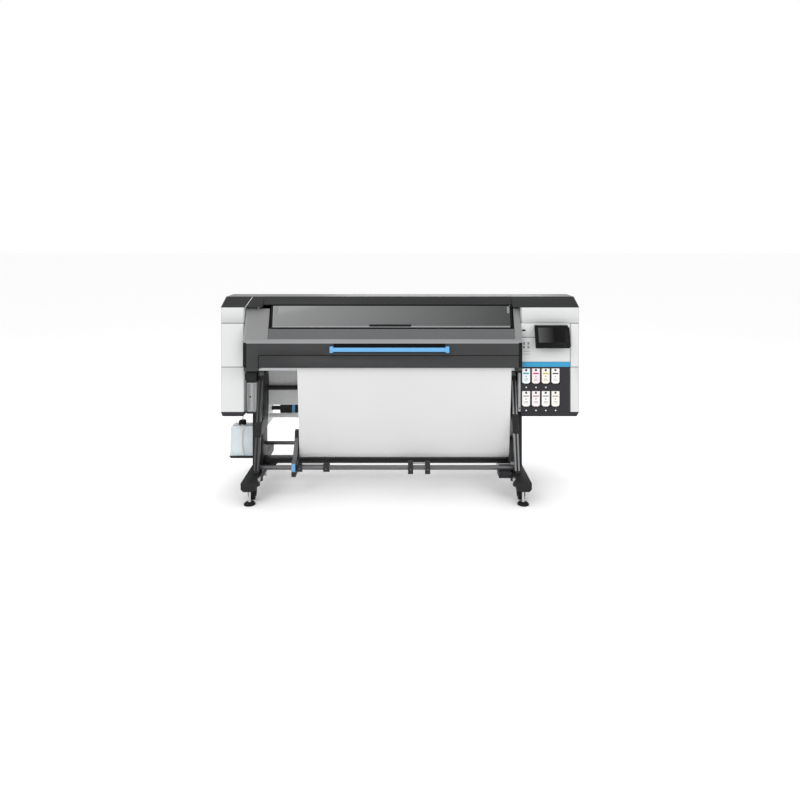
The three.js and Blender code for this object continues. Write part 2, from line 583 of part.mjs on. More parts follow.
/** Reel drive: end plate beside the roll, gear case under the rail. */
function takeupMotor() {
  const plate = [[-170, BEAM_TOP + GAP], [-42, BEAM_TOP + GAP], [-42, 197], [20, 197], [20, 330]];
  plate.push([-20, 360], [-110, 360], [-170, 260]);
  const upright = alongX(plate, 797, 821);
  const bridge = box(760, 808, -190, -158, BEAM_TOP + GAP, 172);
  const gearCase = box(700, 790, -262, -158, 132, 172);
  piece('takeup_motor', join(upright, bridge, gearCase), 'inkDark');
}

/* ---------------------------------------------------------------- waste bottle */

function wasteBottle() {
  const side = COLUMN.left - COLUMN.width / 2 - GAP;
  const shelf = [[side, 200], [-1274, 200], [-1261, 186], [side, 186]];
  piece('bottle_shelf', alongY(shelf, -10, 100), 'legBlack');
  const { x0, x1, y0, y1, capX, capTop } = BOTTLE;
  const outline = [[x0, 200.3], [x1, 200.3], [x1, 416], [x1 - 8, 425], [x0 + 16, 425], [x0 + 6, 414]];
  const neck = turnedZ([[420, 0], [420, 20], [430, 20], [430, 26], [capTop, 26], [capTop, 0]], capX, 45, 20);
  piece('waste_bottle', join(alongY(outline, y0, y1), neck), 'cloudy');
}

/** Thin drain hose from the bottle cap up into the chassis. */
function drainHose() {
  const points = [[BOTTLE.capX, BOTTLE.capTop + 2 * GAP], [BOTTLE.capX, 470], [-1179, 492.5], [-1162.5, 509]];
  points.push([-1138, 515], [-1113, 521], [-1097, 537], [HOSE.x, 559]);
  points.push([HOSE.x, 640], [HOSE.x, 750], [HOSE.x, CHASSIS_BOTTOM]);
  const curve = new THREE.CatmullRomCurve3(points.map(([x, z]) => new THREE.Vector3(x, HOSE.y, z)));
  const section = shapeOf(ring(0, 0, HOSE.radius, 8));
  const tube = new THREE.ExtrudeGeometry(section, { extrudePath: curve, steps: 44, bevelEnabled: false });
  piece('drain_hose', tube, 'cloudy');
}

/* ---------------------------------------------------------------- assembly */

for (const [side, beamX, columnX, strutX] of [
  ['left', BEAM.left, COLUMN.left, STRUT.left],
  ['right', BEAM.right, COLUMN.right, STRUT.right],
]) {
  footBeam(`foot_beam_${side}`, beamX);
  column(`column_${side}`, columnX);
  strut(`strut_${side}`, strutX);
  for (const [end, sign] of [['front', -1], ['rear', 1]]) {
    levellingFoot(`levelling_foot_${end}_${side}`, footX(beamX, sign), sign * LEVELLER.y);
    castor(`${end}_${side}`, footX(beamX, sign), sign);
  }
}
crossBeam();
takeupRail();
deflectorBar();
rollCradle();
chassisBeam();
platen();
driveRoller();
carriageParts();
cutter();
leftModule();
rightModule();
inkBay();
inkCartridges();
endCap('left_cap', -HALF_WIDTH, -990 - GAP, -1);
endCap('right_cap', 811, HALF_WIDTH, 1);
topCover();
hood();
doorHandle();
windowPane();
display();
supplyRoll();
mediaWeb();
takeupRoll();
takeupArm();
takeupMotor();
wasteBottle();
drainHose();

export default object;
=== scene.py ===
"""Looks of a wide roll-to-roll printer with a cross cutter, on an open stand.

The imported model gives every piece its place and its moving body. This script refines those
pieces, adds seams, labels, screws and fittings, and gives every surface its finish.
Metres, +X to the operator's right, +Y to the rear, +Z up.
"""

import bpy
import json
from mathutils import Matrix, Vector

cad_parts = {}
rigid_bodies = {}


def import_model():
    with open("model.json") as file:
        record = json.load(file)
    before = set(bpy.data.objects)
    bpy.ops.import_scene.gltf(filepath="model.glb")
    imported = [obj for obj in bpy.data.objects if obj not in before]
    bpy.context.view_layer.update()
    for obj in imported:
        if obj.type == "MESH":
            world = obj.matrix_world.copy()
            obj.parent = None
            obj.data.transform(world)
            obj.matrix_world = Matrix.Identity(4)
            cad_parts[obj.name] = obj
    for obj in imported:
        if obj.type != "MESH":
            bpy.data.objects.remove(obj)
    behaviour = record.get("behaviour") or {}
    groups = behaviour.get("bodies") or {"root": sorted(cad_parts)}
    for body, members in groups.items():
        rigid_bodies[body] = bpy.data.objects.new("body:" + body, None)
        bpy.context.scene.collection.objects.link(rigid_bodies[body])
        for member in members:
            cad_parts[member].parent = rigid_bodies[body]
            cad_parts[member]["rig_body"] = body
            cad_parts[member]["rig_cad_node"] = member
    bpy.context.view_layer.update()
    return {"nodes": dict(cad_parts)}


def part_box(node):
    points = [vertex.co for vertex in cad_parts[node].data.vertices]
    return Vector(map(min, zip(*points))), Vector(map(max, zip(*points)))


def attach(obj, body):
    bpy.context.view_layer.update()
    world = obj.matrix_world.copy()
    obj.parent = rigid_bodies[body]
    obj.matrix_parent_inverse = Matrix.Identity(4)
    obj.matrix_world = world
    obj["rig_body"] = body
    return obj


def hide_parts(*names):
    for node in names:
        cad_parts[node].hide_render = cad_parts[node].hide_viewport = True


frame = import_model()

import json
import logging
import math
from dataclasses import dataclass, field
from enum import Enum
from typing import Callable, Iterable, Sequence

import bmesh
import bpy
from mathutils import Vector

LOG = logging.getLogger("roll_printer")
Piece = bpy.types.Object
Material = bpy.types.Material
Socket = bpy.types.NodeSocket
Point = tuple[float, float, float]
Flat = tuple[float, float]
FaceTest = Callable[[Vector, Vector], bool]

SMOOTH_ANGLE = math.radians(35)
FLAT_ANGLE = math.radians(0.5)
MERGE_DISTANCE = 1e-5
SCORE_WIDTH = 0.0004
# A face whose normal has more than this along an axis faces that way.
FACING = 0.9
# A face this share of a seam's width from its middle line is in the seam.
SEAM_REACH = 0.51
# Most of a box's thinnest side that its rounding may take.
ROUNDING_LIMIT = 0.45


class Axis(Enum):
    """A direction of the shared frame."""

    X = 0
    Y = 1
    Z = 2


class Body(str, Enum):
    """The moving bodies that new pieces ride on."""

    FRAME = "frame"
    HOOD = "hood"
    WINDOW = "window"
    DISPLAY = "display"
    CARRIAGE = "carriage"
    CUTTER = "cutter"
    SUPPLY = "supply_reel"
    TAKEUP = "takeup_reel"
    ARM = "reel_arm"


# ------------------------------------------------------------------ modelling helpers


def clear_selection() -> None:
    """Deselects every object."""
    bpy.ops.object.select_all(action="DESELECT")


def activate(piece: Piece) -> None:
    """Makes one object the only selected and active one.

    Args:
        piece: The object to work on.
    """
    clear_selection()
    piece.select_set(True)
    bpy.context.view_layer.objects.active = piece


def start_edit(piece: Piece, mode: str = "FACE") -> bmesh.types.BMesh:
    """Opens a piece in edit mode with nothing selected.

    Args:
        piece: The object to open.
        mode: The select mode, VERT, EDGE or FACE.

    Returns:
        The piece's edit mesh.
    """
    activate(piece)
    bpy.ops.object.mode_set(mode="EDIT")
    bpy.ops.mesh.select_mode(type=mode)
    bpy.ops.mesh.select_all(action="DESELECT")
    return bmesh.from_edit_mesh(piece.data)


def end_edit() -> None:
    """Leaves edit mode."""
    bpy.ops.object.mode_set(mode="OBJECT")


def pick_faces(piece: Piece, test: FaceTest) -> int:
    """Selects the faces that pass a test, in edit mode.

    Args:
        piece: The object that is open in edit mode.
        test: Takes a face's middle and its normal.

    Returns:
        How many faces are selected.
    """
    mesh = bmesh.from_edit_mesh(piece.data)
    count = 0
    for face in mesh.faces:
        chosen = test(face.calc_center_median(), face.normal)
        face.select_set(chosen)
        count += chosen
    bmesh.update_edit_mesh(piece.data)
    return count


def round_edges(piece: Piece, width: float, segments: int = 2, angle: float = 30) -> None:
    """Rounds a piece's sharp edges and shades it.

    Args:
        piece: The object to round.
        width: Width of the rounding in metres.
        segments: Faces across the rounding.
        angle: Edges sharper than this, in degrees, are rounded.
    """
    activate(piece)
    if width > 0:
        bpy.ops.object.modifier_add(type="BEVEL")
        bevel = piece.modifiers[-1]
        bevel.width = width
        bevel.segments = segments
        bevel.limit_method = "ANGLE"
        bevel.angle_limit = math.radians(angle)
        bevel.harden_normals = False
        bpy.ops.object.modifier_apply(modifier=bevel.name)
    bpy.ops.object.shade_smooth_by_angle(angle=SMOOTH_ANGLE)


def block(name: str, low: Point, high: Point, rounding: float = 0.002, segments: int = 2) -> Piece:
    """A rounded box between two corners.

    Args:
        name: The piece's name.
        low: Its lowest corner.
        high: Its highest corner.
        rounding: Width of the edge rounding.
        segments: Faces across the rounding.

    Returns:
        The new object.
    """
    clear_selection()
    middle = [(a + b) / 2 for a, b in zip(low, high)]
    bpy.ops.mesh.primitive_cube_add(size=1, location=middle)
    piece = bpy.context.object
    piece.name = name
    piece.scale = [b - a for a, b in zip(low, high)]
    bpy.ops.object.transform_apply(location=True, rotation=True, scale=True)
    thinnest = min(b - a for a, b in zip(low, high))
    round_edges(piece, min(rounding, ROUNDING_LIMIT * thinnest), segments)
    return piece


def lift(outline: Flat, axis: Axis, level: float) -> Vector:
    """Places a point of a flat outline in space.

    Args:
        outline: The point's two coordinates, in the order of the two other axes.
        axis: The axis the outline faces.
        level: The place along that axis.

    Returns:
        The point in space.
    """
    point = list(outline)
    point.insert(axis.value, level)
    return Vector(point)


def prism(
    name: str,
    outline: Sequence[Flat],
    axis: Axis,
    start: float,
    end: float,
    rounding: float,
    segments: int = 2,
) -> Piece:
    """A closed outline carried along an axis.

    Args:
        name: The piece's name.
        outline: The outline's corners.
        axis: The axis it is carried along.
        start: Where it starts on that axis.
        end: Where it ends.
        rounding: Width of the edge rounding.
        segments: Faces across the rounding.

    Returns:
        The new object.
    """
    clear_selection()
    bpy.ops.mesh.primitive_circle_add(vertices=len(outline), radius=0.1, fill_type="NGON")
    piece = bpy.context.object
    piece.name = name
    mesh = start_edit(piece, "VERT")
    for index, corner in enumerate(outline):
        mesh.verts.ensure_lookup_table()
        bpy.ops.mesh.select_all(action="DESELECT")
        mesh.verts[index].select_set(True)
        move = lift(corner, axis, start) - mesh.verts[index].co
        bpy.ops.transform.translate(value=move)
    bpy.ops.mesh.select_mode(type="FACE")
    bpy.ops.mesh.select_all(action="SELECT")
    along = lift((0, 0), axis, end - start)
    bpy.ops.mesh.extrude_region_move(TRANSFORM_OT_translate={"value": along})
    bpy.ops.mesh.select_all(action="SELECT")
    bpy.ops.mesh.normals_make_consistent(inside=False)
    end_edit()
    round_edges(piece, rounding, segments)
    return piece


def turned(name: str, steps: Sequence[Flat], axis: Axis, centre: Point, sides: int = 32) -> Piece:
    """A round piece spun about an axis.

    Args:
        name: The piece's name.
        steps: Pairs of place along the axis and radius; the first and last radius are 0.
        axis: The axis it is spun about.
        centre: A point on that axis.
        sides: How many sides the round has.

    Returns:
        The new object.
    """
    clear_selection()
    bpy.ops.mesh.primitive_plane_add(size=0.01, location=(0, 0, 0))
    piece = bpy.context.object
    piece.name = name
    start_edit(piece, "VERT")
    bpy.ops.mesh.select_all(action="SELECT")
    bpy.ops.mesh.merge(type="CENTER")
    side = Axis((axis.value + 1) % 3)

    def place(step: Flat) -> Vector:
        """Where one step of the profile lies."""
        point = Vector(centre)
        point[axis.value] = step[0]
        point[side.value] += step[1]
        return point

    mesh = bmesh.from_edit_mesh(piece.data)
    mesh.verts.ensure_lookup_table()
    mesh.verts[0].select_set(True)
    bpy.ops.transform.translate(value=place(steps[0]) - mesh.verts[0].co)
    for before, after in zip(steps, steps[1:]):
        move = place(after) - place(before)
        bpy.ops.mesh.extrude_region_move(TRANSFORM_OT_translate={"value": move})
    bpy.ops.mesh.select_all(action="SELECT")
    direction = lift((0, 0), axis, 1.0)
    bpy.ops.mesh.spin(steps=sides, angle=2 * math.pi, center=centre, axis=direction)
    bpy.ops.mesh.select_all(action="SELECT")
    bpy.ops.mesh.remove_doubles(threshold=MERGE_DISTANCE)
    bpy.ops.mesh.normals_make_consistent(inside=False)
    end_edit()
    round_edges(piece, 0)
    return piece


def headed(
    start: float, end: float, radius: float, face: float | None = None, slant: float = 0.0
) -> list[Flat]:
    """The profile of a rod or a round head, for turned().

    Args:
        start: Where it starts on its axis.
        end: Where it ends.
        radius: Its radius.
        face: Radius of its flat start, if that is smaller.
        slant: How long the slope from there to the full radius is.

    Returns:
        Pairs of place along the axis and radius.
    """
    slope = [(start, radius)] if face is None else [(start, face), (start + slant, radius)]
    return [(start, 0), *slope, (end, radius), (end, 0)]


def refined(node: str, rounding: float, segments: int = 2, angle: float = 30) -> Piece:
    """A copy of a CAD node with merged faces and rounded edges, for stand_in().

    Args:
        node: The node's name.
        rounding: Width of the edge rounding.
        segments: Faces across the rounding.
        angle: Edges sharper than this, in degrees, are rounded.

    Returns:
        The new object, without a finish.
    """
    source = frame["nodes"][node]
    activate(source)
    bpy.ops.object.duplicate()
    piece = bpy.context.object
    piece.name = f"{node}_finished"
    piece.parent = None
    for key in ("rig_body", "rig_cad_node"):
        if key in piece:
            del piece[key]
    start_edit(piece)
    bpy.ops.mesh.select_all(action="SELECT")
    bpy.ops.mesh.remove_doubles(threshold=MERGE_DISTANCE)
    bpy.ops.mesh.dissolve_limited(angle_limit=FLAT_ANGLE)
    end_edit()
    round_edges(piece, rounding, segments, angle)
    piece.data.materials.clear()
    return piece


def groove(
    piece: Piece, lines: Sequence[tuple[Axis, float]], width: float, depth: float, test: FaceTest
) -> None:
    """Sinks narrow seams into a piece's outer faces.

    Args:
        piece: The object to cut.
        lines: Pairs of the axis across a seam and the seam's place on it.
        width: Width of the seams.
        depth: How far they are sunk.
        test: Chooses the faces that the seams cross.
    """
    start_edit(piece)
    for axis, level in lines:
        for side in (-1, 1):
            bpy.ops.mesh.select_all(action="SELECT")
            where = lift((0, 0), axis, level + side * width / 2)
            bpy.ops.mesh.bisect(plane_co=where, plane_no=lift((0, 0), axis, 1.0))

    def crossed(middle: Vector, normal: Vector) -> bool:
        """Whether a face is in a seam."""
        within = any(abs(middle[axis.value] - level) < width / 2 for axis, level in lines)
        return within and test(middle, normal)

    if pick_faces(piece, crossed):
        bpy.ops.mesh.extrude_region_shrink_fatten(TRANSFORM_OT_shrink_fatten={"value": -depth})
    end_edit()
    round_edges(piece, 0)


def score(piece: Piece, point: Point, across: Point, width: float = SCORE_WIDTH) -> None:
    """Cuts a piece's faces along both sides of a band, so that the band can take its own finish.

    Args:
        piece: The object to cut.
        point: A point on the band's middle line.
        across: The direction across the band.
        width: The band's width.
    """
    step = Vector(across).normalized() * width / 2
    start_edit(piece)
    for side in (-1, 1):
        bpy.ops.mesh.select_all(action="SELECT")
        bpy.ops.mesh.bisect(plane_co=Vector(point) + side * step, plane_no=step.normalized())
    end_edit()


def sink(piece: Piece, test: FaceTest, margin: float, depth: float) -> None:
    """Sinks the faces that pass a test, inside a margin.

    Args:
        piece: The object to shape.
        test: Chooses the faces.
        margin: Width of the rim that stays.
        depth: How far the rest is sunk.
    """
    start_edit(piece)
    pick_faces(piece, test)
    bpy.ops.mesh.inset(thickness=margin, depth=-depth)
    end_edit()


def zones(piece: Piece, base: Material, choices: Iterable[tuple[Material, FaceTest]]) -> None:
    """Gives a piece its finish, and chosen faces a finish of their own.

    Args:
        piece: The object to dress.
        base: The finish of all the other faces.
        choices: Pairs of a finish and the test for its faces.
    """
    piece.data.materials.append(base)
    for finish, test in choices:
        piece.data.materials.append(finish)
        start_edit(piece)
        if pick_faces(piece, test):
            piece.active_material_index = len(piece.data.materials) - 1
            bpy.ops.object.material_slot_assign()
        end_edit()


def outer_wall(node: str) -> FaceTest:
    """A test for the upright outer faces of a moulded node, its rounded corners among them.

    Args:
        node: The node's name.

    Returns:
        The test.
    """
    low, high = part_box(node)

    def test(middle: Vector, normal: Vector) -> bool:
        """Whether a face lies on the node's outside."""
        if abs(normal.z) > 0.5:
            return False
        for axis in (0, 1):
            edge = high[axis] if normal[axis] > 0 else low[axis]
            reach = 0.001 if abs(normal[axis]) > 0.97 else 0.015
            if abs(normal[axis]) > 0.25 and abs(middle[axis] - edge) > reach:
                return False
        return True

    return test


def copied(piece: Piece, name: str, move: Point) -> Piece:
    """A moved copy of a piece, with its own mesh.

    Args:
        piece: The piece to copy, before it is settled.
        name: The copy's name.
        move: How far it is moved.

    Returns:
        The copy.
    """
    activate(piece)
    bpy.ops.object.duplicate()
    twin = bpy.context.object
    twin.name = name
    twin.location = move
    bpy.ops.object.transform_apply(location=True, rotation=False, scale=False)
    return twin


def settle(piece: Piece, body: str, finish: Material) -> None:
    """Fixes a new piece to its body and gives it its finish.

    Args:
        piece: The finished object.
        body: The body it rides on.
        finish: Its material.
    """
    piece.data.materials.append(finish)
    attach(piece, body)
    LOG.info("%s: %d faces", piece.name, len(piece.data.polygons))


def body_name(node: str) -> str:
    """The name of the body that a CAD node belongs to."""
    return frame["nodes"][node]["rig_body"]


def stand_in(piece: Piece, node: str, base: Material, *choices: tuple[Material, FaceTest]) -> None:
    """Dresses a refined piece and lets it replace its CAD node.

    Args:
        piece: The refined object.
        node: The node's name.
        base: The piece's finish.
        choices: Pairs of another finish and the test for its faces.
    """
    zones(piece, base, choices)
    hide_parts(node)
    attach(piece, body_name(node))
    LOG.info("%s: %d faces", piece.name, len(piece.data.polygons))


def finish_node(node: str, finish: Material, rounding: float, angle: float = 30) -> None:
    """Refines one CAD node and dresses it in one finish.

    Args:
        node: The node's name.
        finish: Its material.
        rounding: Width of the edge rounding.
        angle: Edges sharper than this, in degrees, are rounded.
    """
    stand_in(refined(node, rounding, angle=angle), node, finish)


# ------------------------------------------------------------------ finishes


@dataclass
class Recipe:
    """A material's node tree while it is put together."""

    name: str
    material: Material = field(init=False)
    shader: bpy.types.Node = field(init=False)

    def __post_init__(self) -> None:
        """Makes the material with its shader."""
        self.material = bpy.data.materials.new(self.name)
        self.material.use_nodes = True
        self.shader = self.material.node_tree.nodes["Principled BSDF"]

    def node(self, kind: str, **settings: object) -> bpy.types.Node:
        """Adds a node.

        Args:
            kind: The node's type name.
            **settings: Values of its properties.

        Returns:
            The new node.
        """
        new = self.material.node_tree.nodes.new(kind)
        for key, value in settings.items():
            setattr(new, key, value)
        return new

    def link(self, output: Socket, target: Socket) -> None:
        """Joins two sockets."""
        self.material.node_tree.links.new(output, target)

    def place(self, scale: Point = (1, 1, 1), shift: Point = (0, 0, 0)) -> Socket:
        """Object coordinates, stretched and moved.

        Args:
            scale: Factor along each axis.
            shift: Move along each axis.

        Returns:
            The vector socket.
        """
        coordinates = self.node("ShaderNodeTexCoord")
        mapping = self.node("ShaderNodeMapping")
        mapping.inputs["Scale"].default_value = scale
        mapping.inputs["Location"].default_value = shift
        self.link(coordinates.outputs["Object"], mapping.inputs["Vector"])
        return mapping.outputs["Vector"]

    def noise(self, where: Socket, scale: float, detail: float = 2) -> Socket:
        """A noise pattern.

        Args:
            where: The coordinates it reads.
            scale: Its scale in waves per metre.
            detail: Its number of octaves.

        Returns:
            The value socket.
        """
        pattern = self.node("ShaderNodeTexNoise")
        pattern.inputs["Scale"].default_value = scale
        pattern.inputs["Detail"].default_value = detail
        self.link(where, pattern.inputs["Vector"])
        return pattern.outputs["Fac"]

    def ramp(self, value: Socket, *stops: tuple[float, Point]) -> Socket:
        """Turns a value into a colour.

        Args:
            value: The value socket.
            *stops: Pairs of place and colour.

        Returns:
            The colour socket.
        """
        scale = self.node("ShaderNodeValToRGB")
        while len(scale.color_ramp.elements) < len(stops):
            scale.color_ramp.elements.new(0.5)
        for element, (place, colour) in zip(scale.color_ramp.elements, stops):
            element.position = place
            element.color = (*colour, 1)
        self.link(value, scale.inputs["Fac"])
        return scale.outputs["Color"]

    def span(self, value: Socket, low: float, high: float, start: float, end: float) -> Socket:
        """Maps a value from one span to another.

        Args:
            value: The value socket.
            low: Value that becomes start.
            high: Value that becomes end.
            start: The new span's start.
            end: The new span's end.

        Returns:
            The mapped value socket.
        """
        mapping = self.node("ShaderNodeMapRange")
        for key, number in (("From Min", low), ("From Max", high), ("To Min", start), ("To Max", end)):
            mapping.inputs[key].default_value = number
        self.link(value, mapping.inputs["Value"])
        return mapping.outputs["Result"]

    def colour(self, value: Socket, *stops: tuple[float, Point]) -> None:
        """Colours the surface by a pattern.

        Args:
            value: The pattern.
            *stops: Pairs of place and colour.
        """
        self.link(self.ramp(value, *stops), self.shader.inputs["Base Color"])

    def gloss(self, value: Socket, low: float, high: float, start: float, end: float) -> None:
        """Makes the surface smoother or rougher by a pattern.

        Args:
            value: The pattern.
            low: Value that gets the first roughness.
            high: Value that gets the last.
            start: The first roughness.
            end: The last.
        """
        self.link(self.span(value, low, high, start, end), self.shader.inputs["Roughness"])

    def amount(self, name: str, value: float) -> None:
        """Sets one plain value of the shader."""
        self.shader.inputs[name].default_value = value

    def relief(self, height: Socket, strength: float, distance: float) -> None:
        """Gives the shader a fine relief.

        Args:
            height: The height pattern.
            strength: How strong it shows.
            distance: Its height in metres.
        """
        bump = self.node("ShaderNodeBump")
        bump.inputs["Strength"].default_value = strength
        bump.inputs["Distance"].default_value = distance
        self.link(height, bump.inputs["Height"])
        self.link(bump.outputs["Normal"], self.shader.inputs["Normal"])


def shade(colour: Point, factor: float) -> Point:
    """A colour made lighter or darker."""
    return tuple(min(1.0, channel * factor) for channel in colour)


@dataclass(frozen=True)
class Moulding:
    """Textured injection-moulded plastic."""

    name: str
    colour: Point
    roughness: float = 0.45
    grain: float = 900.0
    relief: float = 0.12
    cloud: float = 0.05
    specular: float = 0.3

    def build(self) -> Material:
        """Returns the material: fine grain, faint clouding and uneven gloss."""
        recipe = Recipe(self.name)
        where = recipe.place()
        cloud = recipe.noise(where, 3.0, 3)
        dull, bright = shade(self.colour, 1 - self.cloud), shade(self.colour, 1 + self.cloud)
        recipe.colour(cloud, (0.3, dull), (0.7, bright))
        recipe.gloss(recipe.noise(where, 40.0, 3), 0.3, 0.7, self.roughness - 0.04, self.roughness + 0.05)
        recipe.relief(recipe.noise(where, self.grain, 2), self.relief, 0.0004)
        recipe.amount("Specular IOR Level", self.specular)
        return recipe.material


@dataclass(frozen=True)
class PowderCoat:
    """Powder-coated steel with a fine orange-peel relief and scuffed spots."""

    name: str
    colour: Point
    roughness: float = 0.55
    scuff: float = 0.5

    def build(self) -> Material:
        """Returns the material."""
        recipe = Recipe(self.name)
        where = recipe.place()
        wear = recipe.noise(recipe.place((1, 1, 0.3)), 60.0, 6)
        worn = shade(self.colour, 1 + self.scuff)
        recipe.colour(wear, (0.0, shade(self.colour, 0.92)), (0.62, self.colour), (0.8, worn))
        recipe.gloss(wear, 0.3, 0.8, self.roughness, self.roughness - 0.15)
        recipe.relief(recipe.noise(where, 420.0, 3), 0.3, 0.0005)
        recipe.amount("Specular IOR Level", 0.22)
        return recipe.material


@dataclass(frozen=True)
class DrawnMetal:
    """Drawn or brushed metal with fine lines along one axis."""

    name: str
    colour: Point
    lines: Axis = Axis.X
    roughness: float = 0.32
    metallic: float = 1.0

    def build(self) -> Material:
        """Returns the material."""
        recipe = Recipe(self.name)
        stretch = [1.0, 1.0, 1.0]
        stretch[self.lines.value] = 0.01
        where = recipe.place(tuple(stretch))
        streak = recipe.noise(where, 1400.0, 3)
        recipe.colour(streak, (0.3, shade(self.colour, 0.88)), (0.7, shade(self.colour, 1.06)))
        recipe.gloss(streak, 0.25, 0.75, self.roughness - 0.06, self.roughness + 0.1)
        recipe.amount("Metallic", self.metallic)
        recipe.relief(streak, 0.1, 0.0002)
        return recipe.material


@dataclass(frozen=True)
class PaneWithPaintedReflection:
    """Smoked acrylic with a painted reflection: its colour runs from pale at one end to dark at the other,
    along X.
    """

    name: str
    pale: Point
    dark: Point
    start: float
    end: float
    specular: float = 0.3

    def build(self) -> Material:
        """Returns the material."""
        recipe = Recipe(self.name)
        split = recipe.node("ShaderNodeSeparateXYZ")
        recipe.link(recipe.place(), split.inputs["Vector"])
        along = recipe.span(split.outputs["X"], self.start, self.end, 0, 1)
        recipe.colour(along, (0.0, self.pale), (1.0, self.dark))
        recipe.gloss(recipe.noise(recipe.place((1, 4, 4)), 6.0, 4), 0.3, 0.7, 0.07, 0.16)
        recipe.amount("Specular IOR Level", self.specular)
        return recipe.material


@dataclass(frozen=True)
class WoundMedia:
    """Coated print media; across the ends of a roll its turns show as rings."""

    name: str
    centre: Flat | None = None
    colour: Point = (0.635, 0.635, 0.633)

    def build(self) -> Material:
        """Returns the material."""
        recipe = Recipe(self.name)
        where = recipe.place()
        fibre = recipe.noise(where, 700.0, 4)
        patches = recipe.noise(where, 1.2, 2)
        tint = recipe.ramp(patches, (0.3, shade(self.colour, 0.97)), (0.7, shade(self.colour, 1.02)))
        if self.centre is not None:
            rings = recipe.node("ShaderNodeTexWave", wave_type="RINGS", rings_direction="X")
            rings.inputs["Scale"].default_value = 110.0
            rings.inputs["Distortion"].default_value = 0.6
            recipe.link(recipe.place(shift=(0, -self.centre[0], -self.centre[1])), rings.inputs["Vector"])
            blend = recipe.node("ShaderNodeMix", data_type="RGBA", blend_type="MULTIPLY")
            blend.inputs["Factor"].default_value = 0.35
            recipe.link(tint, blend.inputs["A"])
            turns = recipe.ramp(rings.outputs["Fac"], (0.2, (0.7, 0.7, 0.7)), (0.8, (1, 1, 1)))
            recipe.link(turns, blend.inputs["B"])
            tint = blend.outputs["Result"]
        recipe.link(tint, recipe.shader.inputs["Base Color"])
        recipe.gloss(fibre, 0.3, 0.7, 0.5, 0.62)
        recipe.relief(fibre, 0.06, 0.0002)
        return recipe.material


@dataclass(frozen=True)
class CloudyPlastic:
    """Translucent blow-moulded plastic."""

    name: str
    colour: Point

    def build(self) -> Material:
        """Returns the material."""
        recipe = Recipe(self.name)
        haze = recipe.noise(recipe.place(), 14.0, 4)
        recipe.colour(haze, (0.3, shade(self.colour, 0.93)), (0.7, shade(self.colour, 1.04)))
        recipe.gloss(haze, 0.3, 0.7, 0.28, 0.4)
        recipe.amount("Transmission Weight", 0.35)
        recipe.amount("Subsurface Weight", 0.25)
        recipe.amount("Subsurface Scale", 0.02)
        recipe.relief(recipe.noise(recipe.place(), 120.0, 2), 0.08, 0.0008)
        return recipe.material


@dataclass(frozen=True)
class Rubber:
    """Matt rubber with a dusty bloom."""

    name: str
    colour: Point

    def build(self) -> Material:
        """Returns the material."""
        recipe = Recipe(self.name)
        dust = recipe.noise(recipe.place(), 90.0, 6)
        recipe.colour(dust, (0.35, self.colour), (0.8, shade(self.colour, 1.9)))
        recipe.gloss(dust, 0.3, 0.7, 0.62, 0.8)
        recipe.relief(recipe.noise(recipe.place(), 800.0, 2), 0.2, 0.0003)
        recipe.amount("Specular IOR Level", 0.15)
        return recipe.material


@dataclass(frozen=True)
class Screen:
    """Black glass over a screen that is off."""

    name: str
    colour: Point

    def build(self) -> Material:
        """Returns the material: near black with faint finger smears."""
        recipe = Recipe(self.name)
        smear = recipe.noise(recipe.place((3, 3, 1)), 12.0, 5)
        recipe.colour(smear, (0.3, self.colour), (0.8, shade(self.colour, 1.6)))
        recipe.gloss(smear, 0.35, 0.75, 0.05, 0.14)
        recipe.amount("Specular IOR Level", 0.12)
        return recipe.material


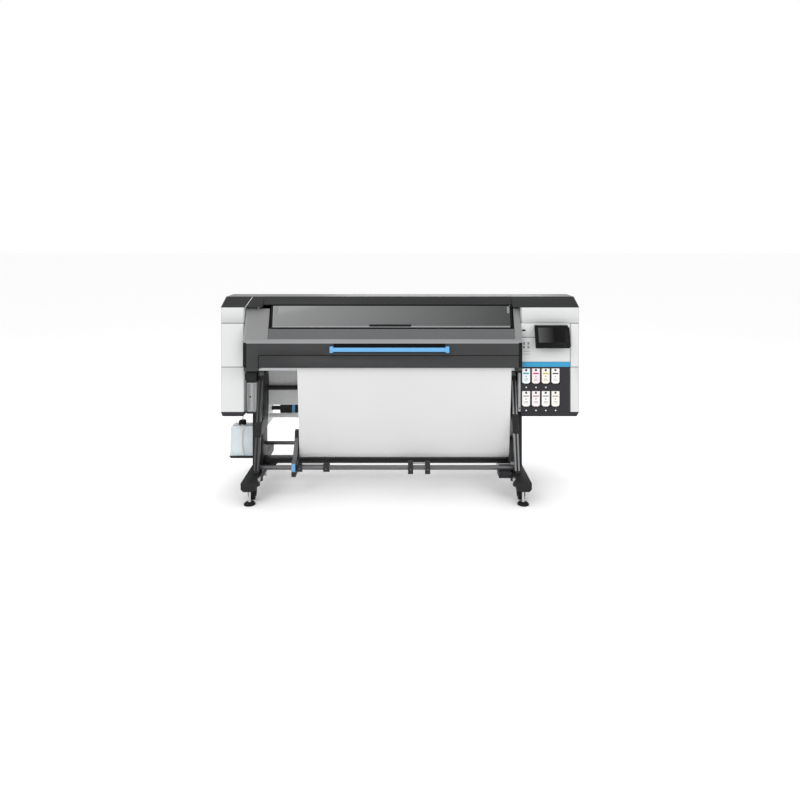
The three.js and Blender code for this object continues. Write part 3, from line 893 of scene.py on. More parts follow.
class Palette:
    """Every finish of the machine, made once."""

    def __init__(self) -> None:
        """Builds the finishes."""
        self.white = Moulding(
            "white_moulding_finish", (0.625, 0.638, 0.633), 0.42, 700, 0.08, 0.012, 0.4
        ).build()
        self.seam = Moulding("seam_finish", (0.10, 0.102, 0.105), 0.6, 900, 0.05).build()
        self.dark = Moulding(
            "dark_moulding_finish", (0.022, 0.0223, 0.0235), 0.46, 900, 0.16, 0.05, 0.2
        ).build()
        self.door = Moulding(
            "door_moulding_finish", (0.041, 0.0415, 0.043), 0.5, 900, 0.14, 0.05, 0.2
        ).build()
        self.slope = Moulding(
            "slope_moulding_finish", (0.10, 0.1015, 0.105), 0.42, 900, 0.12, 0.05, 0.3
        ).build()
        # Near black: the real colour of the data socket, the door's seams, the window's borders and its grip,
        # and painted shade in the handle's hollow, on the door's chamfered ends and on the linings inside the
        # hood's arms.
        self.shadow = Moulding("near_black_and_painted_shade_finish", (0.008, 0.008, 0.009), 0.6, 900, 0.1, 0.05, 0.1).build()
        self.mid = Moulding("arm_moulding_finish", (0.205, 0.206, 0.208), 0.42, 800, 0.1).build()
        # Also the left arm's outer edge, where this paler finish is a painted highlight.
        self.pale = Moulding("ledge_moulding_finish", (0.24, 0.243, 0.248), 0.4, 800, 0.08).build()
        # Painted highlight: the flat tops of the caps and the top cover are painted paler than their dark
        # moulding, for the light from above.
        self.top = Moulding("top_panel_painted_highlight", (0.12, 0.122, 0.124), 0.45, 800, 0.06, 0.03, 0.2).build()
        self.charcoal = Moulding(
            "charcoal_moulding_finish", (0.026, 0.0245, 0.029), 0.46, 800, 0.12, 0.05, 0.2
        ).build()
        self.blue = Moulding("blue_moulding_finish", (0.13, 0.37, 0.66), 0.36, 700, 0.06, 0.04, 0.35).build()
        self.strip = Moulding("blue_strip_finish", (0.035, 0.30, 0.53), 0.34, 700, 0.05, 0.03, 0.3).build()
        self.black = PowderCoat("black_coat_finish", (0.0125, 0.0127, 0.0135)).build()
        self.grey = PowderCoat("grey_coat_finish", (0.34, 0.345, 0.35), 0.45, 0.12).build()
        self.alu_x = DrawnMetal("drawn_aluminium_across", (0.42, 0.43, 0.44), Axis.X).build()
        self.alu_z = DrawnMetal("drawn_aluminium_upright", (0.25, 0.252, 0.255), Axis.Z, 0.36, 0.85).build()
        # Painted shade: a darker copy of the upright aluminium, for the left strut and the left latch.
        self.alu_painted_shade = DrawnMetal(
            "aluminium_upright_painted_shade", (0.075, 0.076, 0.078), Axis.Z, 0.4, 0.7
        ).build()
        self.steel = DrawnMetal("plated_steel", (0.55, 0.55, 0.54), Axis.Z, 0.24).build()
        # Painted reflection: the window's colour runs from pale at its left end to dark at its right.
        self.pane = PaneWithPaintedReflection(
            "smoked_pane_painted_reflection", (0.215, 0.217, 0.219), (0.035, 0.036, 0.037), -0.93, 0.9
        ).build()
        self.screen = Screen("screen_glass", (0.004, 0.004, 0.0045)).build()
        # Painted reflection: the screen's face is paler at its left end and near black at its right.
        self.view = PaneWithPaintedReflection(
            "screen_view_painted_reflection", (0.07, 0.071, 0.072), (0.001, 0.001, 0.0011), 0.985, 1.10, 0.12
        ).build()
        self.case = Moulding(
            "display_case_finish", (0.004, 0.004, 0.0045), 0.35, 900, 0.05, 0.05, 0.12
        ).build()
        self.web = WoundMedia("media_web_finish").build()
        self.rubber = Rubber("black_rubber_finish", (0.008, 0.008, 0.009)).build()
        self.bottle = CloudyPlastic("cloudy_bottle_finish", (0.83, 0.90, 0.94)).build()
        self.spool = CloudyPlastic("bottle_grip_finish", (0.98, 0.985, 0.99)).build()
        self.hose = CloudyPlastic("hose_finish", (0.72, 0.74, 0.76)).build()
        self.mark = Moulding("printed_mark_finish", (0.22, 0.22, 0.23), 0.6, 500, 0.02).build()
        self.lamp = Moulding("indicator_finish", (0.9, 0.9, 0.88), 0.3, 500, 0.02).build()
        self.arm_grey = Moulding("grey_casting_finish", (0.11, 0.1115, 0.115), 0.42, 700, 0.14).build()
        self.sheet = PowderCoat("guide_sheet_finish", (0.86, 0.865, 0.87), 0.42, 0.1).build()
        self.dark_sheet = PowderCoat("dark_sheet_finish", (0.10, 0.101, 0.103), 0.5, 0.2).build()
        self.dark_tube = DrawnMetal("dark_tube_finish", (0.13, 0.13, 0.135), Axis.X, 0.34, 0.6).build()
        self.board = Moulding("core_board_finish", (0.3, 0.22, 0.15), 0.75, 300, 0.2).build()

    def roll(self, name: str, y: float, z: float) -> Material:
        """The finish of a wound roll whose axis passes y, z."""
        return WoundMedia(name, (y, z)).build()

    def ink(self, name: str, colour: Point) -> Material:
        """The finish of a cartridge's colour band."""
        return Moulding(f"ink_band_{name}", colour, 0.4, 600, 0.05).build()


# ------------------------------------------------------------------ end modules


@dataclass
class EndModules:
    """The two end modules: white covers, dark caps and skirts, and their small fittings."""

    palette: Palette
    front: float = -0.176
    band_level: float = 1.215
    panel_seam: float = 1.114
    lower_seam: float = 0.900
    seam_width: float = 0.005
    seam_depth: float = 0.0025
    cap_top: float = 1.402
    # Where the painted highlight line on the left cap lies, its direction across and its width.
    highlight_foot: Point = (-1.114, -0.176, 1.329)
    highlight_across: Point = (0.043, 0.0, -0.025)
    highlight_width: float = 0.0035
    highlight_reach: float = 0.0017
    strip_levels: Flat = (0.902, 0.937)
    strip_sides: Flat = (0.872, 1.2215)
    bracket_sides: Flat = (-1.103, -1.0365)
    bracket_levels: Flat = (0.577, 0.784)
    column_face: float = -0.0745
    plate_sides: Flat = (0.8525, 0.8695)
    plate_top: float = 0.8585
    socket_levels: Flat = (1.159, 1.170)
    mark_pitch: Flat = (0.032, 0.027)
    line_levels: Flat = (1.012, 0.992)
    print_height: float = 0.0004

    def build(self) -> None:
        """Builds both modules."""
        self.covers()
        self.caps_and_skirts()
        self.left_bracket()
        self.right_plate()
        self.panel_fittings()

    def covers(self) -> None:
        """The white mouldings with their seams."""
        seams = {
            "left_cover": (self.band_level, self.lower_seam),
            "right_cover": (self.band_level, self.lower_seam),
            "right_panel": (self.panel_seam,),
        }
        for node, levels in seams.items():
            piece = refined(node, 0.003, 3)
            lines = [(Axis.Z, level) for level in levels]
            groove(piece, lines, self.seam_width, self.seam_depth, outer_wall(node))
            stand_in(piece, node, self.palette.white, (self.palette.seam, self.in_seam(levels)))

    def in_seam(self, levels: Sequence[float]) -> FaceTest:
        """A test for the bottoms of the seams at some levels.

        Args:
            levels: The seams' heights.

        Returns:
            The test.
        """

        def test(middle: Vector, normal: Vector) -> bool:
            """Whether a face lies in a seam."""
            near = any(abs(middle.z - level) < SEAM_REACH * self.seam_width for level in levels)
            return near and abs(normal.z) < 0.5

        return test

    def caps_and_skirts(self) -> None:
        """The sloping caps, their flat tops painted paler and a pale line on the left cap, both painted
        highlights, and the skirts.
        """

        def painted_highlight_top(middle: Vector, normal: Vector) -> bool:
            """Whether a face is the flat top, which is painted paler as a painted highlight."""
            return normal.z > FACING and middle.z > self.cap_top - 0.003

        def cap_split_highlight(middle: Vector, normal: Vector) -> bool:
            """Whether a face is the painted highlight line along the split where the hood's end meets the
            cap.
            """
            near = abs((middle - Vector(self.highlight_foot)).dot(across)) < self.highlight_reach
            return near and normal.y < -0.4 and middle.z < 1.375 and middle.x < -0.9

        across = Vector(self.highlight_across).normalized()
        for node in ("left_cap", "right_cap"):
            piece = refined(node, 0.004, 3)
            if node == "left_cap":
                # Cut out the band for the painted highlight line on the left cap.
                score(piece, self.highlight_foot, self.highlight_across, self.highlight_width)
            choices = ((self.palette.top, painted_highlight_top), (self.palette.white, cap_split_highlight))
            stand_in(piece, node, self.palette.dark, *choices)
        for node in ("left_skirt", "right_skirt"):
            finish_node(node, self.palette.charcoal, 0.006)

    def left_bracket(self) -> None:
        """The sheet-metal bracket between the left module and its column, with its screw."""
        (start, end), (low, high), rear = self.bracket_sides, self.bracket_levels, self.column_face
        plate = block("left_bracket", (start, -0.168, low), (end, rear, high), 0.003)
        sink(plate, lambda middle, normal: normal.y < -FACING and abs(middle.z - 0.68) < 0.05, 0.006, 0.002)
        settle(plate, Body.FRAME, self.palette.grey)
        # Painted shade: a grey strip stands in for the white cover's inner side where it lies in shade.
        side = block("left_side_shade_strip", (-1.1195, -0.172, low), (-1.1045, 0.02, 0.802), 0.004)
        settle(side, Body.FRAME, self.palette.arm_grey)
        top = self.plate_top
        outline = [(-1.1195, 0.786), (end, 0.786), (end, top), (-1.108, top), (-1.1195, 0.84)]
        upper = prism("left_block", outline, Axis.Y, -0.16, rear, 0.003)
        settle(upper, Body.FRAME, self.palette.black)
        foot = block("left_bracket_foot", (-1.105, -0.168, 0.5605), (end, rear, 0.5765), 0.003)
        settle(foot, Body.FRAME, self.palette.charcoal)
        self.screw("left_bracket_screw", (-1.078, -0.1685, 0.683), 0.005)
        face, rim, rear = -0.1375, -0.127, -0.118
        front = [(face, 0), (face, 0.011), (-0.135, 0.016), (rim, 0.016)]
        steps = [*front, (rim, 0.01), (rear, 0.01), (rear, 0)]
        latch = turned("left_latch", steps, Axis.Y, (-1.011, 0, 0.847), 28)
        # The latch takes the darker aluminium copy: painted shade.
        settle(latch, Body.FRAME, self.palette.alu_painted_shade)

    def right_plate(self) -> None:
        """The narrow plate between the right column and the ink bay, with its screw."""
        start, end = self.plate_sides
        low, high = self.bracket_levels[0], self.plate_top
        plate = block("right_plate", (start, -0.172, low), (end, -0.0765, high), 0.003)
        settle(plate, Body.FRAME, self.palette.grey)
        self.screw("right_plate_screw", ((start + end) / 2, -0.1725, 0.603), 0.0045)

    def screw(self, name: str, place: Point, radius: float) -> None:
        """A small socket screw in a front face.

        Args:
            name: The screw's name.
            place: The middle of its head.
            radius: Its head's radius.
        """
        x, y, z = place
        steps = headed(y - 0.0025, y + 0.002, radius, radius * 0.8, 0.001)
        head = turned(name, steps, Axis.Y, (x, 0, z), 18)
        sink(head, lambda middle, normal: normal.y < -FACING and middle.y < y - 0.002, radius * 0.3, 0.0012)
        settle(head, Body.FRAME, self.palette.black)

    def panel_fittings(self) -> None:
        """The blue strip, the data socket and the plain marks on the right panel."""
        (start, end), (low, high), front = self.strip_sides, self.strip_levels, self.front
        strip = block("blue_strip", (start, front - 0.0016, low), (end, front + 0.001, high), 0.0006)
        settle(strip, Body.FRAME, self.palette.strip)
        low, high = self.socket_levels
        socket = block("data_socket", (0.8765, front - 0.0015, low), (0.903, front + 0.001, high), 0.0008)
        centre = (low + high) / 2
        sink(socket, lambda m, n: n.y < -FACING and abs(m.z - centre) < 0.003, 0.0018, 0.0012)
        settle(socket, Body.FRAME, self.palette.shadow)
        proud = front - self.print_height
        marks = [block("panel_mark_1", (0.884, proud, 1.034), (0.899, front, 1.052), 0.0001, 1)]
        right, up = self.mark_pitch
        for index, move in enumerate(((right, 0, 0), (0, 0, up), (right, 0, up)), start=2):
            marks.append(copied(marks[0], f"panel_mark_{index}", move))
        for index, level in enumerate(self.line_levels, start=1):
            low, high = (0.884, proud, level), (0.932, front, level + 0.003)
            marks.append(block(f"panel_line_{index}", low, high, 0.0001, 1))
        for mark in marks:
            settle(mark, Body.FRAME, self.palette.mark)


# ------------------------------------------------------------------ ink bay


class Ink(Enum):
    """The eight inks: their band colour and the tint of their label."""

    CYAN = ((0.02, 0.30, 0.42), (0.78, 0.84, 0.86))
    MAGENTA = ((0.48, 0.01, 0.10), (0.86, 0.74, 0.76))
    YELLOW = ((0.52, 0.38, 0.06), (0.85, 0.82, 0.71))
    BLACK = ((0.02, 0.02, 0.022), (0.86, 0.86, 0.84))
    GREY = ((0.30, 0.28, 0.28), (0.83, 0.81, 0.79))
    ROSE = ((0.36, 0.18, 0.22), (0.86, 0.77, 0.79))
    SILVER = ((0.28, 0.28, 0.27), (0.83, 0.82, 0.80))
    CREAM = ((0.32, 0.30, 0.24), (0.85, 0.83, 0.76))


@dataclass
class InkBay:
    """The ink bay with its eight cartridges, each with its own pull and label."""

    palette: Palette
    first: float = 0.908
    pitch: float = 0.0704
    cartridge_front: float = -0.168
    bay_front: float = -0.176
    rows: tuple[Flat, Flat] = ((0.779, 0.891), (0.614, 0.728))
    indicator_levels: Flat = (0.754, 0.588)
    label_half: float = 0.0285
    label_depth: float = 0.006
    chamfer: float = 0.015
    print_height: float = 0.0004
    band_half: float = 0.021
    band_drops: Flat = (0.042, 0.033)
    eye_radii: Flat = (0.008, 0.0065)
    eye_drop: float = 0.0135
    spot_radius: float = 0.005
    spot_drop: float = 0.058
    line_half: float = 0.014
    line_drops: Flat = (0.0785, 0.0755)
    line_pitch: float = 0.009

    def build(self) -> None:
        """Builds the bay and the cartridges."""
        finish_node("ink_bay", self.palette.charcoal, 0.0012)
        inks = iter(Ink)
        for row, (low, high) in enumerate(self.rows):
            for column in range(4):
                middle = self.first + column * self.pitch
                label = f"{row + 1}_{column + 1}"
                self.cartridge(label, middle, low, high, next(inks))
                self.indicator(label, middle, self.indicator_levels[row], row == 0 and column == 3)

    def cartridge(self, label: str, middle: float, low: float, high: float, ink: Ink) -> None:
        """One cartridge with its label, colour band, eye and marks.

        Args:
            label: Row and column.
            middle: Its middle on X.
            low: Its lowest point.
            high: Its highest point.
            ink: Which ink it holds.
        """
        body = f"ink_{label}"
        band_colour, label_tint = ink.value
        finish_node(f"ink_cartridge_{label}", self.palette.charcoal, 0.002)
        half, cut, front = self.label_half, self.chamfer, self.cartridge_front - self.label_depth
        corners = [(half, high - 0.002), (half, low + cut)]
        corners += [(half - 0.0045, low + 0.0065), (half - cut, low + 0.002)]
        outline = [(middle - reach, level) for reach, level in corners]
        outline += [(middle + reach, level) for reach, level in corners[::-1]]
        face = prism(f"ink_label_{label}", outline, Axis.Y, front, self.cartridge_front + 0.001, 0.0012)
        tint = Moulding(f"ink_label_{ink.name.lower()}", label_tint, 0.5, 500, 0.04, 0.02).build()
        settle(face, body, tint)

        def bar(name: str, reach: float, proud: float, drops: Flat) -> Piece:
            """A printed bar across the label, between two drops from the cartridge's top."""
            first = (middle - reach, front - proud, high - drops[0])
            last = (middle + reach, front + self.print_height, high - drops[1])
            return block(name, first, last, 0.0002, 1)

        band = bar(f"ink_band_{label}", self.band_half, 0.0006, self.band_drops)
        settle(band, body, self.palette.ink(ink.name.lower(), band_colour))
        eye_steps = headed(front - 0.0012, front + 0.0005, *self.eye_radii, 0.0008)
        eye = turned(f"ink_eye_{label}", eye_steps, Axis.Y, (middle, 0, high - self.eye_drop), 18)
        settle(eye, body, self.palette.dark)
        spot_steps = headed(front - 0.0006, front + 0.0005, self.spot_radius)
        spot = turned(f"ink_spot_{label}", spot_steps, Axis.Y, (middle, 0, high - self.spot_drop), 12)
        line = bar(f"ink_line_{label}_1", self.line_half, 0.0005, self.line_drops)
        second = copied(line, f"ink_line_{label}_2", (0, 0, -self.line_pitch))
        for piece in (spot, line, second):
            settle(piece, body, self.palette.mark)

    def indicator(self, label: str, middle: float, level: float, dark: bool) -> None:
        """The small light under a cartridge.

        Args:
            label: Row and column of the cartridge.
            middle: Its middle on X.
            level: Its height.
            dark: Whether it is off.
        """
        front = self.bay_front
        steps = headed(front - 0.0015, front + 0.001, 0.0048, 0.003, 0.001)
        lamp = turned(f"indicator_{label}", steps, Axis.Y, (middle, 0, level), 16)
        settle(lamp, Body.FRAME, self.palette.dark if dark else self.palette.lamp)


# ------------------------------------------------------------------ top, hood and window


@dataclass
class TopAndHood:
    """The fixed top, the lifting hood with its handle, and the window in it."""

    palette: Palette
    top_level: float = 1.402
    door_front: float = -0.262
    door_ends: Flat = (-1.08, 0.835)
    door_seam: float = 1.000
    seam_width: float = 0.0045
    seam_depth: float = 0.005
    tail_edge: float = -0.998
    tail_face: float = -0.2615
    tail_levels: Flat = (0.887, 0.9112)
    arm_highlight_edge: float = -1.103
    arm_sides: Flat = (-0.9445, 0.8195)
    ledge_levels: Flat = (1.0835, 1.1125)
    slope_levels: Flat = (1.1085, 1.18)
    lining_sides: tuple[Flat, Flat] = ((-0.9442, -0.9315), (0.8075, 0.8202))
    grip_sides: Flat = (-0.22, 0.08)
    arm_line: tuple[Flat, Flat] = ((-0.226, 1.106), (-0.136, 1.316))
    recess: tuple[Flat, Flat] = ((-0.468, 0.320), (1.020, 1.083))
    pane_top: Flat = (-0.149, 1.338)
    pane_bottom: Flat = (-0.187, 1.190)
    pane_borders: Flat = (-0.917, 0.793)
    bracket_places: Flat = (-0.905, 0.772)

    def build(self) -> None:
        """Builds the top, the hood and the window."""
        self.top()
        self.hood()
        self.handle()
        self.window()

    def top(self) -> None:
        """The fixed top, its flat panel painted paler as a painted highlight of the light from above."""
        piece = refined("top_cover", 0.002)
        painted_highlight_top = (self.palette.top, lambda m, n: n.z > FACING and m.z > self.top_level - 0.003)
        stand_in(piece, "top_cover", self.palette.dark, painted_highlight_top)

    def hood(self) -> None:
        """The hood: seams round the lower door panel, and the zones of its faces, with painted shade in the
        handle's hollow, on the door's chamfered ends and on the linings inside the arms, and a painted
        highlight on the left arm's outer edge.
        """
        piece = refined("front_hood", 0.003, 3)
        seam, edge, width = self.door_seam, self.tail_edge, self.seam_width

        def on_door(middle: Vector, normal: Vector) -> bool:
            """Whether a face is on the door and beside its lower panel."""
            flat = normal.y < -FACING and middle.y < self.door_front + 0.001
            return flat and middle.x > edge - width / 2 and middle.z < seam + width / 2

        groove(piece, [(Axis.Z, seam), (Axis.X, edge)], width, self.seam_depth, on_door)
        # Cut where the painted highlight on the left arm's outer edge ends.
        score(piece, (self.arm_highlight_edge, 0, 0), (1, 0, 0), 0.0005)
        (recess_start, recess_end), (recess_low, recess_high) = self.recess
        left, right = self.arm_sides
        (ledge_low, ledge_high), (slope_low, slope_high) = self.ledge_levels, self.slope_levels
        door_start, door_stop = self.door_ends

        def shaded_recess(middle: Vector, normal: Vector) -> bool:
            """Whether a face is in the hollow behind the handle, painted near black as painted shade."""
            inside_x = recess_start - 0.002 < middle.x < recess_end + 0.002
            inside_z = recess_low - 0.002 < middle.z < recess_high + 0.002
            return inside_x and inside_z and self.tail_face < middle.y < -0.2485

        def in_seam(middle: Vector, normal: Vector) -> bool:
            """Whether a face is in a seam of the door."""
            across = abs(middle.z - seam) < SEAM_REACH * width and middle.x > edge - width
            upright = abs(middle.x - edge) < SEAM_REACH * width and middle.z < seam + width
            return (across or upright) and -0.2618 < middle.y < -0.256

        def arm_top(middle: Vector, normal: Vector) -> bool:
            """Whether a face is the long outer face of an arm, or its rounded edge."""
            return middle.z > 1.112 and normal.y < -0.35 and not left < middle.x < right

        def arm_edge_highlight(middle: Vector, normal: Vector) -> bool:
            """Whether a face is the outer edge of the left arm, painted paler as a painted highlight."""
            return arm_top(middle, normal) and middle.x < self.arm_highlight_edge

        def ledge(middle: Vector, normal: Vector) -> bool:
            """Whether a face is the rounded ledge above the door."""
            return ledge_low < middle.z < ledge_high and middle.y < -0.222 and normal.z > 0.1

        def slope(middle: Vector, normal: Vector) -> bool:
            """Whether a face is the slope between the ledge and the window."""
            return slope_low < middle.z < slope_high and normal.y < -0.35 and left < middle.x < right

        def shaded_door_end(middle: Vector, normal: Vector) -> bool:
            """Whether a face is a chamfered end of the door, painted near black as painted shade."""
            beyond = not door_start < middle.x < door_stop
            return beyond and abs(normal.x) > 0.3 and middle.y < -0.238 and middle.z < 1.09

        stand_in(
            piece,
            "front_hood",
            self.palette.door,
            (self.palette.slope, slope),
            (self.palette.mid, arm_top),
            # The left arm's outer edge takes the paler finish: a painted highlight.
            (self.palette.pale, arm_edge_highlight),
            (self.palette.pale, ledge),
            # The handle's hollow is painted near black: painted shade.
            (self.palette.shadow, shaded_recess),
            (self.palette.shadow, in_seam),
            # The door's chamfered ends are painted near black: painted shade.
            (self.palette.shadow, shaded_door_end),
        )
        face, inner = self.tail_face, edge - 0.003
        left_tail = [(-1.111, -0.2412), (-1.085, face), (inner, face), (inner, -0.2405)]
        right_tail = [(0.815, -0.240), (0.835, face), (0.842, face), (0.8675, -0.242), (0.8675, -0.235)]
        right_tail.append((0.815, -0.235))
        for side, outline in (("left", left_tail), ("right", right_tail)):
            tail = prism(f"hood_{side}_tail", outline, Axis.Z, *self.tail_levels, 0.002)
            settle(tail, Body.HOOD, self.palette.door)
        # Painted shade: near-black linings inside the arms beside the window, where the arms' inner sides lie
        # in shade.
        (y0, z0), (y1, z1) = self.arm_line
        outline = [(y0 + 0.012, z0 + 0.01), (y1 + 0.008, z1 - 0.004), (y1 + 0.022, z1 - 0.012)]
        outline.append((y0 + 0.036, z0 + 0.004))
        for side, (start, end) in zip(("left", "right"), self.lining_sides):
            shade_lining = prism(f"hood_{side}_lining", outline, Axis.X, start, end, 0.001)
            settle(shade_lining, Body.HOOD, self.palette.shadow)

    def handle(self) -> None:
        """The blue bar handle."""
        finish_node("door_handle", self.palette.blue, 0.003)

    def window(self) -> None:
        """The smoked window with its dark borders, lower rim, grip and two small brackets."""
        piece = refined("window", 0.0015)
        for border in self.pane_borders:
            score(piece, (border, 0, 0), (1, 0, 0))
        left, right = self.pane_borders

        def beside(middle: Vector, normal: Vector) -> bool:
            """Whether a face is beside the clear pane."""
            return not left + 0.0005 <= middle.x <= right - 0.0005

        # The pane's colour carries a painted reflection, paler at the left.
        stand_in(piece, "window", self.palette.pane, (self.palette.shadow, beside))
        low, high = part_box("window")
        y, z = self.pane_bottom
        rim_outline = [(-0.0025, -0.003), (0.0115, -0.0055), (0.0135, 0.004), (0.0005, 0.0075)]
        grip_outline = [(-0.0035, 0.004), (-0.001, 0.003), (0.002, 0.017), (0.0005, 0.0175)]
        for name, corners, start, end, rounding, finish in (
            ("window_rim", rim_outline, low[0] + 0.015, high[0] - 0.015, 0.0012, self.palette.pale),
            ("window_grip", grip_outline, *self.grip_sides, 0.0006, self.palette.shadow),
        ):
            outline = [(y + out, z + up) for out, up in corners]
            settle(prism(name, outline, Axis.X, start, end, rounding), Body.WINDOW, finish)
        y, z = self.pane_top
        corners = [(-0.016, -0.052), (-0.0115, -0.052), (0.0015, -0.006), (-0.003, -0.005)]
        outline = [(y + out, z + up) for out, up in corners]
        for side, x in zip(("left", "right"), self.bracket_places):
            bracket = prism(f"window_bracket_{side}", outline, Axis.X, x, x + 0.018, 0.0008)
            settle(bracket, Body.WINDOW, self.palette.mid)


@dataclass
class TouchPanel:
    """The tilting touch panel: its case, glass and lower bezel."""

    palette: Palette
    top: Flat = (-0.196, 1.204)
    bottom: Flat = (-0.252, 1.050)
    sides: Flat = (0.963, 1.203)
    bezel: float = 0.012
    housing: tuple[Flat, ...] = ((0.93, -0.012), (0.06, -0.012), (0.10, -0.024), (0.9, -0.02))

    def along(self, share: float, proud: float) -> Flat:
        """A point on the slanting face.

        Args:
            share: 0 at the bottom edge, 1 at the top edge.
            proud: How far it stands in front of the face.

        Returns:
            Its place on Y and Z.
        """
        run = Vector((self.top[0] - self.bottom[0], self.top[1] - self.bottom[1]))
        outward = Vector((-run.y, run.x)).normalized()
        point = Vector(self.bottom) + share * run + proud * outward
        return (point.x, point.y)

    def build(self) -> None:
        """Builds the panel."""
        finish_node("display", self.palette.case, 0.005, 40)
        start, end = self.sides
        screen, view, dark = self.palette.screen, self.palette.view, self.palette.dark
        glass, face = self.slab(0.17, 0.95, 0, 0.0012), self.slab(0.24, 0.89, 0.0009, 0.0015)
        for name, corners, first, last, rounding, segments, finish in (
            ("glass", glass, start + self.bezel, end - self.bezel, 0.0006, 2, screen),
            # The screen's face carries a painted reflection, paler at its left end.
            ("view", face, start + 0.024, end - 0.024, 0.0003, 1, view),
            ("housing", self.housing, start + 0.016, end + 0.013, 0.003, 2, screen),
            ("lamp", self.slab(0.075, 0.1, 0, 0.0008), end - 0.045, end - 0.025, 0.0002, 1, dark),
        ):
            outline = [self.along(share, proud) for share, proud in corners]
            slab = prism(f"display_{name}", outline, Axis.X, first, last, rounding, segments)
            settle(slab, Body.DISPLAY, finish)

    @staticmethod
    def slab(low: float, high: float, back: float, front: float) -> tuple[Flat, ...]:
        """The corners of a slab on the slanting face, as shares of it and how far they stand out."""
        return ((low, back), (high, back), (high, front), (low, front))


# ------------------------------------------------------------------ stand


